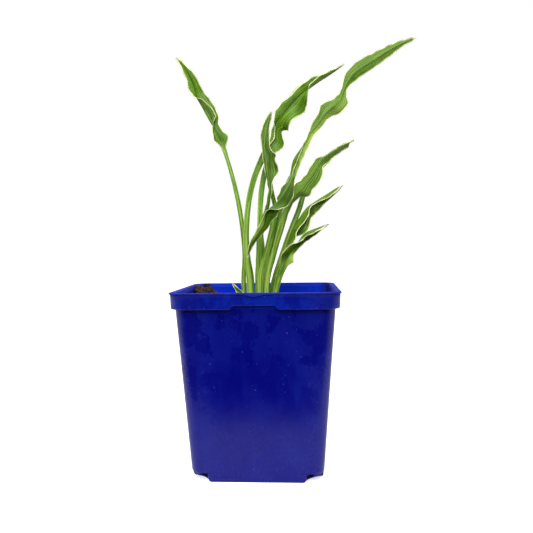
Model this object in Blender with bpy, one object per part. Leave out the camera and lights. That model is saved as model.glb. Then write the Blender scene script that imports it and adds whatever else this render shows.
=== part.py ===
"""A potted hosta: a young narrow-leaved hosta in a square nursery pot, in metres, +Z up.

The origin is the middle of the pot's underside, where the pot stands, and the front is towards -Y.
The pot is one moulding. It holds the potting soil, the soil holds the crown with its roots, and
each leaf, petiole and blade in one, stands on the crown and comes up through the same hole.
"""

import math
import random

import bmesh
import bpy
import numpy as np
from mathutils import Matrix, Vector

MM = 0.001

# Pot
POT_HEIGHT = 130 * MM
LIP_HALF = 58 * MM
WALL_HALF_TOP = 54.8 * MM
WALL_HALF_FOOT = 45.3 * MM
WALL = 1.2 * MM
WALL_CORNER = 9 * MM
LIP_CORNER = 11 * MM
LIP_THICK = 1.1 * MM
SKIRT_HALF = 57.2 * MM
SKIRT_DEPTH = 11 * MM
SKIRT_DRAFT = 0.3 * MM
FLOOR = 1.5 * MM
FOOT_HALF_LENGTH = 33 * MM
CORNER_LIFT = 6.4 * MM
FOOT_ROUNDING = 2.4 * MM
FOOT_HOLLOW = 2.4 * MM
# Marks moulded in the middle of each side of the rim
NOTCH_HALF = 13.5 * MM
NOTCH_RUN = 3 * MM
NOTCH_HEIGHT = 2.6 * MM
PANEL_HALF = 12.5 * MM
PANEL_DEPTH = 0.4 * MM
DIP_HALF = 8 * MM
DIP_DEPTH = 1.3 * MM
# Nubs under the lifted corners
NUB_SIZE = (2.6 * MM, 8 * MM, 3.2 * MM)
NUB_REACH = 58.2 * MM
NUB_FOOT = 4.1 * MM
# Drain slots in the corners of the foot
SLOT_LENGTH = 12 * MM
SLOT_HEIGHT = 3.4 * MM
SLOT_SILL = 1.9 * MM
SLOT_REACH = 8 * MM

# Soil
GAP = 0.35 * MM
SOIL_LEVEL = 118.6 * MM
SOIL_SWELL = 0.8 * MM
CLOD_SEED = 7
SCATTERED_CLODS = 16
# The heap of soil against the back left of the pot: x, y, z of each clod's middle and its radius
HEAP = ((-50.2, 27, 127.6, 3.2), (-48.4, 31, 124.5, 4.6), (-46, 24, 124, 5.2), (-42, 28, 126.6, 3.2),
        (-41, 33, 122.5, 4.6), (-37, 27, 121.5, 4.6), (-44, 20, 121, 4.6), (-38, 21, 120, 4.4),
        (-48.4, 19, 121, 3.8), (-46.5, 36, 121, 4.6), (-34, 32, 119.8, 4.0), (-49.5, 24.5, 126.8, 2.6))

# Crown and roots
CROWN_TOP = 117.2 * MM
CROWN_CENTRE = Vector((0.3 * MM, 1 * MM, 0))
CROWN_REACH = (17.6 * MM, 14.4 * MM)
# Height below the crown's top, and the share of its full reach there
CROWN_PROFILE = ((0, 0.93), (1, 1), (7, 1), (14, 0.8), (20, 0.52), (24, 0.2))
CROWN_SIDES = 20
ROOTS = 7
ROOT_LENGTH = 62 * MM
ROOT_RADII = (2.3 * MM, 0.9 * MM)
ROOT_SPREAD = math.radians(34)
ROOT_SIDES = 7

# Leaves
PETIOLE_FOOT = CROWN_TOP + GAP
PETIOLE_THICK = (1.3 * MM, 0.8 * MM)
BLADE_THICK = (1.0 * MM, 0.65 * MM)
BLADE_BLEND = 8 * MM
PETIOLE_BOW = 0.30
BLADE_BOW = -0.07
FOLD_ROUNDING = 0.12
ROWS_PER_STATION = 2
ACROSS = (-1.0, -0.5, 0.0, 0.5, 1.0)
PLUCK = 0.5 * MM
# Each leaf is drawn in elevation on the plane y = 0, as seen from this point in front of the pot,
# and each station is then set to its own depth along the line of sight, which keeps the drawing.
EYE = np.array((32.2, -446.3, 159.3)) * MM

# Each station: x and z of the midrib, depth y, then for the left and the right half of the leaf its
# width and its turn in degrees out of the picture plane, towards the front where it is positive.
# blade is the station where the petiole becomes the blade. upper_front tells that the leaf's upper
# side faces the front where the turn is 0. side, where given, is the way across a leaf that hangs over.
LEAVES = {
    "leaf_far_left": dict(upper_front=True, blade=8, stations=(
        (-11.2, 117, 4, 2.0, 40, 2.0, 40), (-11.8, 126, 4, 2.0, 40, 2.0, 40),
        (-11.8, 140, 4, 1.9, 40, 1.9, 40), (-10.9, 152, 4, 1.8, 40, 1.8, 40),
        (-11.8, 170, 4, 1.8, 40, 1.8, 40), (-14.4, 190, 4, 1.8, 40, 1.8, 40),
        (-18.6, 210, 5, 1.6, 40, 1.6, 40), (-22.7, 225, 6.5, 1.4, 40, 1.4, 40),
        (-25.6, 234, 8, 1.8, 35, 2.2, 15), (-27.8, 240.6, 9, 5.8, 30, 6.2, 0),
        (-30.3, 245.7, 10, 4.2, 32, 4.2, -15), (-32.9, 249.7, 11, 3.0, 100, 5.0, -10),
        (-35.9, 254.5, 12, 7.8, 158, 8.9, -10), (-39.1, 260.5, 13, 7.3, 160, 9.5, -12),
        (-42.3, 266.5, 14, 5.0, 150, 8.8, -8), (-45.2, 272.3, 15.5, 4.0, 60, 7.0, 5),
        (-46.9, 278.5, 17, 4.8, 22, 5.8, 25), (-49.5, 285.2, 18.5, 3.7, 28, 5.4, 32),
        (-52.9, 291.5, 19.5, 2.9, 30, 3.8, 35), (-56.4, 296.9, 21, 1.9, 35, 2.3, 35),
        (-60.5, 301.9, 22, 0.5, 0, 0.5, 0))),
    "leaf_high_centre": dict(upper_front=True, blade=9, stations=(
        (-5.6, 117, -1, 3.4, 45, 3.4, 45), (-6.5, 126, -1, 3.8, 45, 3.8, 45),
        (-7.2, 140, -2, 3.5, 45, 3.5, 45), (-8.7, 150, -2, 3.0, 45, 3.0, 45),
        (-9.5, 162, -2, 2.6, 45, 2.6, 45), (-8.9, 180, -2, 2.4, 45, 2.4, 45),
        (-6.1, 200, 0, 2.5, 45, 2.5, 45), (-1.6, 215, 2, 2.6, 45, 2.6, 45),
        (2.8, 225, 4, 2.7, 45, 2.9, 40), (6.0, 232, 6, 3.0, 70, 8.4, 28),
        (7.8, 235.5, 7, 3.5, 120, 11.0, 15), (9.4, 239, 8, 3.8, 140, 11.8, 0),
        (10.6, 243, 8, 3.6, 140, 9.0, 0), (12.0, 247.3, 8, 3.0, 120, 7.0, 4),
        (13.4, 250.8, 8, 2.8, 60, 11.5, 8), (15.4, 253.6, 8, 4.0, 28, 10.6, 24),
        (18.0, 256.4, 8, 6.2, -8, 10.6, 42), (22.0, 261.2, 8, 6.4, -14, 10.2, 26),
        (24.5, 264.2, 8, 5.8, -15, 11.2, 8), (27.0, 267.0, 8, 4.7, -15, 11.6, 0),
        (29.8, 269.8, 8, 4.3, -12, 9.8, 2), (32.4, 272.0, 8, 5.3, -8, 7.4, 16),
        (37.3, 275.2, 8, 6.3, 0, 4.5, 90), (42.0, 278.4, 7, 6.5, -10, 4.6, 135),
        (47.2, 281.8, 6, 5.1, -10, 4.6, 145), (53.5, 285.6, 5, 3.3, -10, 3.6, 145),
        (59.5, 289.6, 4, 1.7, -10, 2.0, 140), (64.5, 293.2, 3, 0.5, 0, 0.5, 60))),
    "leaf_back_centre": dict(upper_front=True, blade=10, stations=(
        (-0.8, 117, -4, 2.2, 45, 2.2, 45), (-1.2, 126, -4, 2.1, 45, 2.1, 45),
        (-1.3, 140, -4, 2.1, 45, 2.1, 45), (-0.6, 150, -3, 2.2, 45, 2.2, 45),
        (0.2, 165, -2, 2.3, 45, 2.3, 45), (0.9, 180, -1, 2.3, 45, 2.3, 45),
        (1.3, 190, 1, 2.3, 45, 2.3, 45), (2.4, 202, 3, 2.4, 45, 2.4, 45),
        (4.6, 214, 6, 2.4, 45, 2.4, 45), (8.0, 225, 13, 2.4, 45, 2.4, 45),
        (10.8, 235, 19.5, 3.6, 45, 3.6, 45), (13.5, 244, 24, 5.5, 45, 5.5, 45),
        (18.0, 255, 26, 5.5, 45, 5.5, 45), (23.6, 264.5, 27, 4.0, 45, 4.5, 45),
        (27.7, 272.6, 28, 2.4, 35, 3.0, 45), (31.0, 279.4, 29, 0.5, 0, 0.5, 0))),
    "leaf_upright_centre": dict(upper_front=False, blade=7, stations=(
        (-0.5, 117, 6, 2.0, -45, 2.0, -45), (-0.5, 126, 5.5, 2.0, -45, 2.0, -45),
        (1.2, 141, 5, 2.0, -45, 2.0, -45), (2.5, 155, 5, 2.0, -45, 2.0, -45),
        (2.4, 161, 5, 2.0, -45, 2.0, -45), (1.7, 169, 4.5, 1.9, -45, 1.9, -45),
        (2.8, 177.5, 3.5, 1.9, -45, 2.0, -45), (4.8, 183.5, 1, 2.2, -40, 2.2, -40),
        (6.6, 190, -2, 2.2, -50, 2.2, -45), (7.8, 197, -4, 2.2, -55, 2.2, -45),
        (8.5, 202, -5, 2.2, -60, 2.4, -45), (8.1, 206.2, -5.5, 2.3, -62, 3.2, -40),
        (7.4, 210.6, -6, 2.4, -65, 6.6, -40), (6.7, 215.2, -6.5, 2.4, -65, 12.6, -42),
        (6.1, 219.2, -7, 2.4, -65, 12.0, -42), (5.6, 223.4, -7.5, 2.4, -62, 10.7, -42),
        (5.1, 227.8, -8, 2.4, -60, 12.0, -42), (4.8, 231.6, -8, 2.6, -58, 8.4, -42),
        (4.8, 234.8, -8, 2.9, -50, 6.2, -42), (5.1, 238, -8, 3.9, -45, 5.2, -42),
        (5.7, 242.4, -8, 4.9, -42, 4.6, -45), (6.4, 246.8, -8, 5.0, -42, 3.3, -45),
        (7.4, 251.1, -8, 4.2, -42, 2.9, -45), (8.8, 255.6, -8, 2.8, -42, 2.2, -45),
        (10.5, 259.9, -8, 0.5, 0, 0.5, 0))),
    "leaf_drooping_front": dict(upper_front=True, blade=9, side=(0.75, 0, -0.66), stations=(
        (1.2, 117, -7.5, 2.0, 45, 2.0, 45), (0.6, 126, -8, 2.0, 45, 2.0, 45),
        (1.2, 140, -8, 2.0, 45, 2.0, 45), (3.6, 150, -8, 2.0, 45, 2.0, 45),
        (6.4, 160, -8, 2.1, 45, 2.1, 45), (9.2, 171, -7, 2.2, 45, 2.2, 45),
        (12.5, 184, -6, 2.2, 45, 2.2, 45), (17.5, 197, -6, 2.1, 45, 2.1, 45),
        (23.2, 208.6, -9, 2.2, 45, 2.4, 45), (25.8, 213.0, -15, 2.0, 45, 2.6, 30),
        (23.9, 208.0, -21.5, 2.2, 20, 4.4, 28), (20.4, 201.9, -24, 3.9, 24, 8.7, 34),
        (16.6, 196.4, -25, 3.0, 40, 9.2, 32), (12.6, 191.8, -25.5, 6.6, 146, 5.8, -5),
        (8.2, 188.3, -25.5, 8.3, 165, 3.4, -70), (5.9, 184.8, -25, 7.5, 170, 2.4, -105),
        (4.9, 181.0, -24.5, 6.0, 167, 2.6, -130), (4.1, 176.8, -24, 3.9, 165, 3.6, -145),
        (1.6, 172.4, -23.5, 2.9, 165, 3.6, -152), (-1.8, 167.7, -23, 2.3, 165, 2.8, -155),
        (-5.7, 162.0, -22, 1.9, 165, 1.9, -155), (-7.6, 157.1, -21.5, 1.3, 165, 1.2, -155),
        (-8.8, 152.2, -21, 0.5, 165, 0.5, -155))),
    "leaf_tallest_right": dict(upper_front=False, blade=7, stations=(
        (3.0, 117, 0.5, 2.8, -45, 2.8, -45), (2.4, 126, 0, 2.8, -45, 2.8, -45),
        (4.4, 140, 0, 2.7, -45, 2.7, -45), (7.2, 150, 0, 2.7, -45, 2.7, -45),
        (10.4, 161, 1, 2.7, -45, 2.7, -45), (13.6, 175, 1, 2.8, -45, 2.8, -45),
        (16.8, 188, 2, 2.8, -45, 2.8, -45), (20.6, 202, 3, 2.4, 10, 3.4, -40),
        (24.2, 214.6, 4, 2.4, 150, 4.9, -2), (26.3, 223.6, 4, 3.8, 154, 6.3, 2),
        (31.4, 231.4, 4, 2.0, 145, 5.0, 6), (35.8, 236.8, 4, 1.2, -10, 3.2, 8),
        (39.4, 243.8, 5, 2.0, -25, 3.4, -15), (44.2, 249.8, 6, 4.1, -20, 4.4, -32),
        (48.0, 255.0, 6, 4.4, -18, 4.8, -38), (52.0, 259.6, 6, 7.2, -20, 6.5, -42),
        (57.0, 264.0, 7, 6.0, -40, 7.7, -5), (60.2, 267.4, 8, 5.0, -50, 7.9, 8),
        (62.3, 271.3, 9, 2.6, -35, 4.0, -10), (63.9, 275.6, 10, 2.2, -30, 2.8, -22),
        (66.6, 281.3, 11, 3.6, -24, 4.5, -18), (71.0, 286.6, 12, 5.0, -22, 5.7, -14),
        (78.0, 291.3, 13, 5.6, -20, 5.7, -12), (86.5, 296.3, 14, 5.0, -20, 5.3, -12),
        (95.5, 301.7, 15, 3.8, -20, 4.7, -14), (104.3, 306.2, 16, 2.6, -20, 3.0, -18),
        (111.7, 309.0, 17, 1.6, -20, 1.8, -20), (117.0, 310.8, 18, 0.5, 0, 0.5, 0))),
    "leaf_middle_right": dict(upper_front=False, blade=6, stations=(
        (5.8, 117, -4, 2.3, -45, 2.3, -45), (5.2, 126, -4.5, 2.3, -45, 2.3, -45),
        (6.9, 140, -5, 2.2, -45, 2.2, -45), (9.9, 151, -5, 2.3, -45, 2.3, -45),
        (13.2, 163, -5, 2.4, -45, 2.4, -45), (16.5, 174, -5, 2.8, -45, 2.8, -45),
        (19.4, 183, -5, 3.6, -45, 2.8, -45), (23.2, 191.5, -5, 4.2, -45, 2.8, -45),
        (28.0, 199.0, -6, 5.2, -35, 4.6, -25), (31.9, 203.7, -6.5, 5.8, -25, 9.4, 10),
        (34.5, 206.9, -7, 4.4, -40, 8.1, 10), (38.3, 211.5, -8, 4.1, -40, 8.9, 10),
        (42.2, 217.4, -9, 4.6, -35, 6.9, 0), (45.2, 221.6, -9.5, 4.4, -30, 4.7, -20),
        (49.5, 225.5, -10, 1.4, -10, 5.7, -40), (55.4, 229.4, -11, 1.2, 0, 4.7, -40),
        (60.6, 232.7, -12, 1.2, 0, 4.7, -40), (64.2, 234.6, -12.5, 1.1, -10, 4.4, -40),
        (66.0, 235.4, -13, 1.0, -30, 3.8, -40), (67.4, 236.0, -13, 0.8, -20, 0.9, -30),
        (71.0, 237.6, -13.5, 0.5, 0, 0.5, 0))),
    "leaf_back_right": dict(upper_front=True, blade=8, stations=(
        (8.9, 117, 2.2, 2.2, 45, 2.2, 45), (9.1, 126, 2.5, 2.2, 45, 2.2, 45),
        (11.4, 137, 3, 2.2, 45, 2.2, 45), (15.0, 148, 3, 2.2, 45, 2.2, 45),
        (18.6, 158, 3, 2.3, 45, 2.3, 45), (22.2, 168, 3, 2.3, 45, 2.3, 45),
        (26.2, 178, 5, 2.3, 45, 2.3, 45), (30.2, 188, 7.5, 2.3, 45, 2.3, 45),
        (33.0, 197, 10.5, 2.4, 45, 2.4, 45), (36.5, 205, 13.5, 4.0, 45, 4.5, 45),
        (41.5, 213, 16, 5.0, 45, 5.5, 45), (47.8, 220.5, 18, 4.2, 50, 4.5, 50),
        (55.5, 227.0, 20, 3.0, 55, 3.0, 50), (62.0, 231.3, 21.5, 1.8, 45, 1.8, 45),
        (66.8, 233.9, 22.5, 0.8, 20, 0.8, 20))),
    "leaf_lower_right": dict(upper_front=False, blade=4, stations=(
        (11.4, 117, -1.2, 2.0, -45, 2.0, -45), (11.6, 126, -1.5, 2.0, -45, 2.0, -45),
        (13.6, 136, -2.5, 2.0, -45, 2.0, -45), (16.8, 146, -3, 2.0, -45, 2.0, -45),
        (19.6, 154, -3, 2.0, -45, 2.0, -45), (22.0, 159.5, -3.5, 2.6, 60, 3.0, -25),
        (22.4, 163.6, -4, 6.0, 128, 4.4, 0), (23.2, 168.4, -4.5, 7.2, 140, 5.4, 6),
        (24.7, 172.3, -5, 6.0, 140, 9.2, 12), (27.7, 177.1, -5.5, 6.6, 140, 11.6, 14),
        (30.7, 181.5, -6, 6.8, 144, 9.8, 6), (33.7, 185.9, -6.5, 6.2, 148, 8.2, -8),
        (36.7, 189.2, -7.5, 3.8, 145, 8.4, -10), (40.4, 191.7, -8.5, 1.9, 140, 7.4, -10),
        (45.6, 195.1, -10, 3.0, 140, 5.8, -12), (50.8, 198.2, -11, 3.7, 145, 4.6, -15),
        (55.2, 201.0, -12, 3.2, 148, 3.7, -15), (58.9, 203.1, -13, 2.2, 145, 2.4, -15),
        (62.3, 204.9, -14, 0.5, 100, 0.5, -10))),
    "leaf_lowest_right": dict(upper_front=True, blade=4, stations=(
        (11.7, 117, -6.5, 2.4, 45, 2.4, 45), (12.1, 126, -7, 2.4, 45, 2.4, 45),
        (14.0, 134, -8, 2.5, 45, 2.5, 45), (16.3, 141.5, -9, 2.6, 40, 2.7, 40),
        (18.6, 147.2, -10, 3.2, 25, 3.8, 35), (21.2, 152.2, -11, 5.6, 26, 7.2, 42),
        (23.8, 156.2, -12.5, 5.0, 25, 3.0, 15), (27.1, 160.1, -14, 4.0, 30, 2.8, -5),
        (29.8, 164.1, -15.5, 3.0, 105, 4.4, -10), (32.3, 167.8, -17, 3.4, 141, 5.9, -12),
        (35.8, 170.5, -18.5, 3.6, 147, 5.9, -12), (40.2, 172.4, -20, 3.7, 148, 5.0, -12),
        (44.7, 173.9, -21.5, 2.7, 148, 3.1, -12), (48.4, 175.2, -23, 1.7, 145, 1.7, -10),
        (51.7, 176.5, -24.5, 0.5, 100, 0.5, -10))),
    "leaf_young_centre": dict(upper_front=True, blade=10, stations=(
        (4.3, 117, 10, 1.7, 45, 1.7, 45), (4.6, 126, 10, 1.7, 45, 1.7, 45),
        (5.6, 140, 10, 1.7, 45, 1.7, 45), (8.4, 152, 10, 1.7, 45, 1.7, 45),
        (11.4, 163, 9, 1.7, 45, 1.7, 45), (13.4, 174, 8, 1.7, 45, 1.7, 45),
        (13.2, 184, 7, 1.7, 45, 1.7, 45), (11.9, 192, 5, 1.8, 45, 1.8, 45),
        (10.1, 200, 3, 1.8, 45, 1.8, 45), (8.6, 208, 1.5, 2.2, 45, 2.2, 45),
        (7.6, 216, 1, 2.8, 50, 2.8, 50), (7.0, 225, 1, 3.2, 50, 3.2, 50),
        (6.8, 234, 1, 2.8, 50, 2.8, 50), (7.4, 242, 0.5, 0.5, 0, 0.5, 0))),
    "sheath_leaf_left": dict(upper_front=True, blade=2, stations=(
        (-8.6, 117, -7, 2.0, 45, 2.0, 45), (-10.0, 119.6, -7, 2.2, 40, 2.4, 40),
        (-12.2, 122.6, -7, 2.4, 30, 2.4, 30), (-15.2, 126.6, -7, 2.2, 20, 2.0, 30),
        (-17.8, 129.8, -7, 1.4, 20, 1.2, 30), (-20.2, 132.9, -7, 0.5, 0, 0.5, 0))),
}


def material(name, color, roughness):
    """A plain Principled material."""
    made = bpy.data.materials.new(name)
    made.use_nodes = True
    shader = made.node_tree.nodes["Principled BSDF"]
    shader.inputs["Base Color"].default_value = (*color, 1)
    shader.inputs["Roughness"].default_value = roughness
    return made


def add_object(name, bm, collection, finish=None):
    """Turn a bmesh into a named object."""
    mesh = bpy.data.meshes.new(name)
    bm.to_mesh(mesh)
    bm.free()
    made = bpy.data.objects.new(name, mesh)
    collection.objects.link(made)
    if finish:
        mesh.materials.append(finish)
    else:
        made.hide_render = True
        made.display_type = "WIRE"
    return made


def combine(target, collection, operation):
    """Apply a Boolean with a whole collection, and remove the collection's objects."""
    cut = target.modifiers.new(operation.lower(), "BOOLEAN")
    cut.operation = operation
    cut.operand_type = "COLLECTION"
    cut.collection = collection
    cut.solver = "EXACT"
    shape = bpy.data.meshes.new_from_object(target.evaluated_get(bpy.context.evaluated_depsgraph_get()))
    target.modifiers.remove(cut)
    target.data = shape
    for used in list(collection.objects):
        bpy.data.objects.remove(used)


def loft(rings, foot, head):
    """A closed solid through rings of equal count, closed by a fan to a point at each end."""
    bm = bmesh.new()
    rows = [[bm.verts.new(point) for point in ring] for ring in rings]
    count = len(rows[0])
    for lower, upper in zip(rows, rows[1:]):
        for k in range(count):
            after = (k + 1) % count
            bm.faces.new((lower[k], lower[after], upper[after], upper[k]))
    for point, row, flip in ((foot, rows[0], True), (head, rows[-1], False)):
        middle = bm.verts.new(point)
        for k in range(count):
            pair = (row[k], row[(k + 1) % count])
            bm.faces.new((pair[1], pair[0], middle) if flip else (pair[0], pair[1], middle))
    bmesh.ops.recalc_face_normals(bm, faces=bm.faces)
    return bm


def wall_half(z):
    """Half width of the pot's outer wall at a height."""
    return WALL_HALF_FOOT + (WALL_HALF_TOP - WALL_HALF_FOOT) * z / POT_HEIGHT


def square_ring(half, corner, height, along, steps=4, chamfer=None):
    """A square ring with rounded corners, or cut, hollowed ones where chamfer gives the side's half length.

    half and height may be functions of the place along a side, which the places in along name.
    """
    place = half if callable(half) else lambda s: half
    level = height if callable(height) else lambda s: height
    end = place(math.inf)
    points = []
    for side in range(4):
        turn = Matrix.Rotation(side * math.pi / 2, 4, "Z")
        local = [Vector((s, -place(s), level(s))) for s in along]
        for k in range(steps + 1):
            share = k / steps
            if chamfer:
                start = Vector((chamfer, -end, level(math.inf)))
                stop = Vector((end, -chamfer, level(math.inf)))
                hollow = FOOT_HOLLOW * 4 * share * (1 - share) / math.sqrt(2)
                local.append(start.lerp(stop, share) + Vector((-hollow, hollow, 0)))
            else:
                angle = share * math.pi / 2
                x = end - corner + corner * math.sin(angle)
                y = -end + corner - corner * math.cos(angle)
                local.append(Vector((x, y, level(math.inf))))
        points.extend(turn @ point for point in local)
    return points


def notch_lift(s):
    """How far the skirt's lower edge is raised near the middle of a side."""
    return NOTCH_HEIGHT * min(1, max(0, (NOTCH_HALF + NOTCH_RUN - abs(s)) / NOTCH_RUN))


def panel_inset(s):
    """How far the skirt is set back in the shallow panel in the middle of a side."""
    return PANEL_DEPTH if abs(s) <= PANEL_HALF else 0


def lip_dip(s):
    """How far the underside of the lip dips in the middle of a side."""
    return DIP_DEPTH * math.cos(min(1, abs(s) / DIP_HALF) * math.pi / 2) ** 2


def corner_block(name, corner, reach, low, size, collection):
    """A block across one of the pot's corners, reach from the middle along the diagonal."""
    bm = bmesh.new()
    bmesh.ops.create_cube(bm, size=1)
    turn = Matrix.Rotation(math.pi / 4 + corner * math.pi / 2, 4, "Z")
    bm.transform(turn @ Matrix.Translation((reach, 0, low + size[2] / 2)) @ Matrix.Diagonal((*size, 1)))
    add_object(name, bm, collection)


def make_pot(collection, joined, cutters, finish):
    """The square pot: foot with cut and lifted corners, tapered wall, lip and hanging skirt."""
    marks = (DIP_HALF / 2, DIP_HALF, PANEL_HALF, NOTCH_HALF, NOTCH_HALF + NOTCH_RUN)
    along = [-s for s in reversed(marks)] + [0] + list(marks)
    skirt_foot = POT_HEIGHT - SKIRT_DEPTH
    lip_under = POT_HEIGHT - LIP_THICK
    inner_diagonal = (FOOT_HALF_LENGTH + WALL_HALF_FOOT) - WALL * math.sqrt(2)
    inner_foot_half = WALL_HALF_FOOT - WALL

    def foot(half, z, length):
        return square_ring(half, 0, z, along, chamfer=length)

    def ring(half, z, corner=WALL_CORNER):
        return square_ring(half, corner, z, along)

    def skirt(half, z, lift=0):
        return square_ring(lambda s: half - panel_inset(s), LIP_CORNER,
                           lambda s: z + lift * notch_lift(s), along)

    def lip(half, z, dip=0):
        return square_ring(half, LIP_CORNER, lambda s: z - dip * lip_dip(s), along)

    rings = [
        foot(WALL_HALF_FOOT - FOOT_ROUNDING / 2, 0, FOOT_HALF_LENGTH - FOOT_ROUNDING),
        foot(WALL_HALF_FOOT - FOOT_ROUNDING / 6, FOOT_ROUNDING / 3, FOOT_HALF_LENGTH - FOOT_ROUNDING / 3),
        foot(WALL_HALF_FOOT, FOOT_ROUNDING, FOOT_HALF_LENGTH),
        foot(wall_half(CORNER_LIFT) - 0.05 * MM, CORNER_LIFT - 0.6 * MM, FOOT_HALF_LENGTH),
        ring(wall_half(CORNER_LIFT), CORNER_LIFT),
        ring(wall_half(skirt_foot), skirt_foot),
        lip(wall_half(lip_under), lip_under, 1),
        square_ring(lambda s: SKIRT_HALF - WALL - panel_inset(s), LIP_CORNER - WALL,
                    lambda s: lip_under - lip_dip(s), along),
        skirt(SKIRT_HALF - WALL - SKIRT_DRAFT, skirt_foot, lift=1),
        skirt(SKIRT_HALF - SKIRT_DRAFT, skirt_foot, lift=1),
        square_ring(lambda s: SKIRT_HALF - panel_inset(s), LIP_CORNER,
                    lambda s: lip_under - lip_dip(s), along),
        lip(LIP_HALF, lip_under + 0.2 * MM, 0.8),
        lip(LIP_HALF, POT_HEIGHT - 0.3 * MM),
        lip(LIP_HALF - 0.3 * MM, POT_HEIGHT),
        lip(wall_half(POT_HEIGHT) - WALL + 0.3 * MM, POT_HEIGHT),
        lip(wall_half(POT_HEIGHT) - WALL, POT_HEIGHT - 0.4 * MM),
        ring(wall_half(skirt_foot) - WALL, skirt_foot, WALL_CORNER - WALL),
        ring(wall_half(CORNER_LIFT) - WALL, CORNER_LIFT + WALL, WALL_CORNER - WALL),
        foot(inner_foot_half, CORNER_LIFT + WALL - 0.6 * MM, inner_diagonal - inner_foot_half),
        foot(inner_foot_half, FLOOR, inner_diagonal - inner_foot_half),
    ]
    pot = add_object("pot", loft(rings, (0, 0, 0), (0, 0, FLOOR)), collection, finish)
    slot_reach = (FOOT_HALF_LENGTH + WALL_HALF_FOOT) / math.sqrt(2) - FOOT_HOLLOW
    for corner in range(4):
        corner_block(f"nub_{corner}", corner, NUB_REACH, NUB_FOOT, NUB_SIZE, joined)
        corner_block(f"drain_slot_cutter_{corner}", corner, slot_reach, SLOT_SILL,
                     (SLOT_REACH, SLOT_LENGTH, SLOT_HEIGHT), cutters)
    combine(pot, joined, "UNION")
    combine(pot, cutters, "DIFFERENCE")
    return pot


def crown_body(grow, top):
    """The crown's lump, grown by a margin, with its top at a height."""
    rings = []
    for depth, share in reversed(CROWN_PROFILE):
        z = CROWN_TOP - depth * MM - grow * min(1, depth / 14) if depth else top
        ring = []
        for k in range(CROWN_SIDES):
            angle = 2 * math.pi * k / CROWN_SIDES
            ripple = 1 + 0.04 * math.sin(3 * angle + depth) if depth > 1 else 1
            ring.append(CROWN_CENTRE + Vector((
                (CROWN_REACH[0] * share * ripple + grow) * math.cos(angle),
                (CROWN_REACH[1] * share * ripple + grow) * math.sin(angle), z)))
        rings.append(ring)
    low = CROWN_TOP - CROWN_PROFILE[-1][0] * MM - 1 * MM - grow
    return loft(rings, CROWN_CENTRE + Vector((0, 0, low)), CROWN_CENTRE + Vector((0, 0, top)))


def root_body(index, grow):
    """One thick root, a tapered cone that leans out and down from the crown."""
    heading = 2 * math.pi * (index + 0.35) / ROOTS
    lean = ROOT_SPREAD * (0.75 + 0.25 * (index % 3) / 2)
    bm = bmesh.new()
    bmesh.ops.create_cone(bm, cap_ends=True, segments=ROOT_SIDES, radius1=ROOT_RADII[1] + grow,
                          radius2=ROOT_RADII[0] + grow, depth=ROOT_LENGTH + grow)
    bm.transform(Matrix.Translation((0, 0, -(ROOT_LENGTH + grow) / 2)))
    start = CROWN_CENTRE + Vector((6 * MM * math.cos(heading), 5 * MM * math.sin(heading), CROWN_TOP - 12 * MM))
    bm.transform(Matrix.Translation(start) @ Matrix.Rotation(heading, 4, "Z")
                 @ Matrix.Rotation(-lean, 4, "Y"))
    return bm


def make_crown(collection, roots, finish):
    """The crown with its roots, joined in one body."""
    crown = add_object("crown_and_roots", crown_body(0, CROWN_TOP), collection, finish)
    for index in range(ROOTS):
        add_object(f"root_{index}", root_body(index, 0), roots)
    combine(crown, roots, "UNION")
    return crown


def soil_swell(x, y):
    """Gentle unevenness of the soil's surface."""
    return SOIL_SWELL * (math.sin(x * 150 + 1) * math.cos(y * 120) + 0.6 * math.sin(x * 260 - y * 310))


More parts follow.
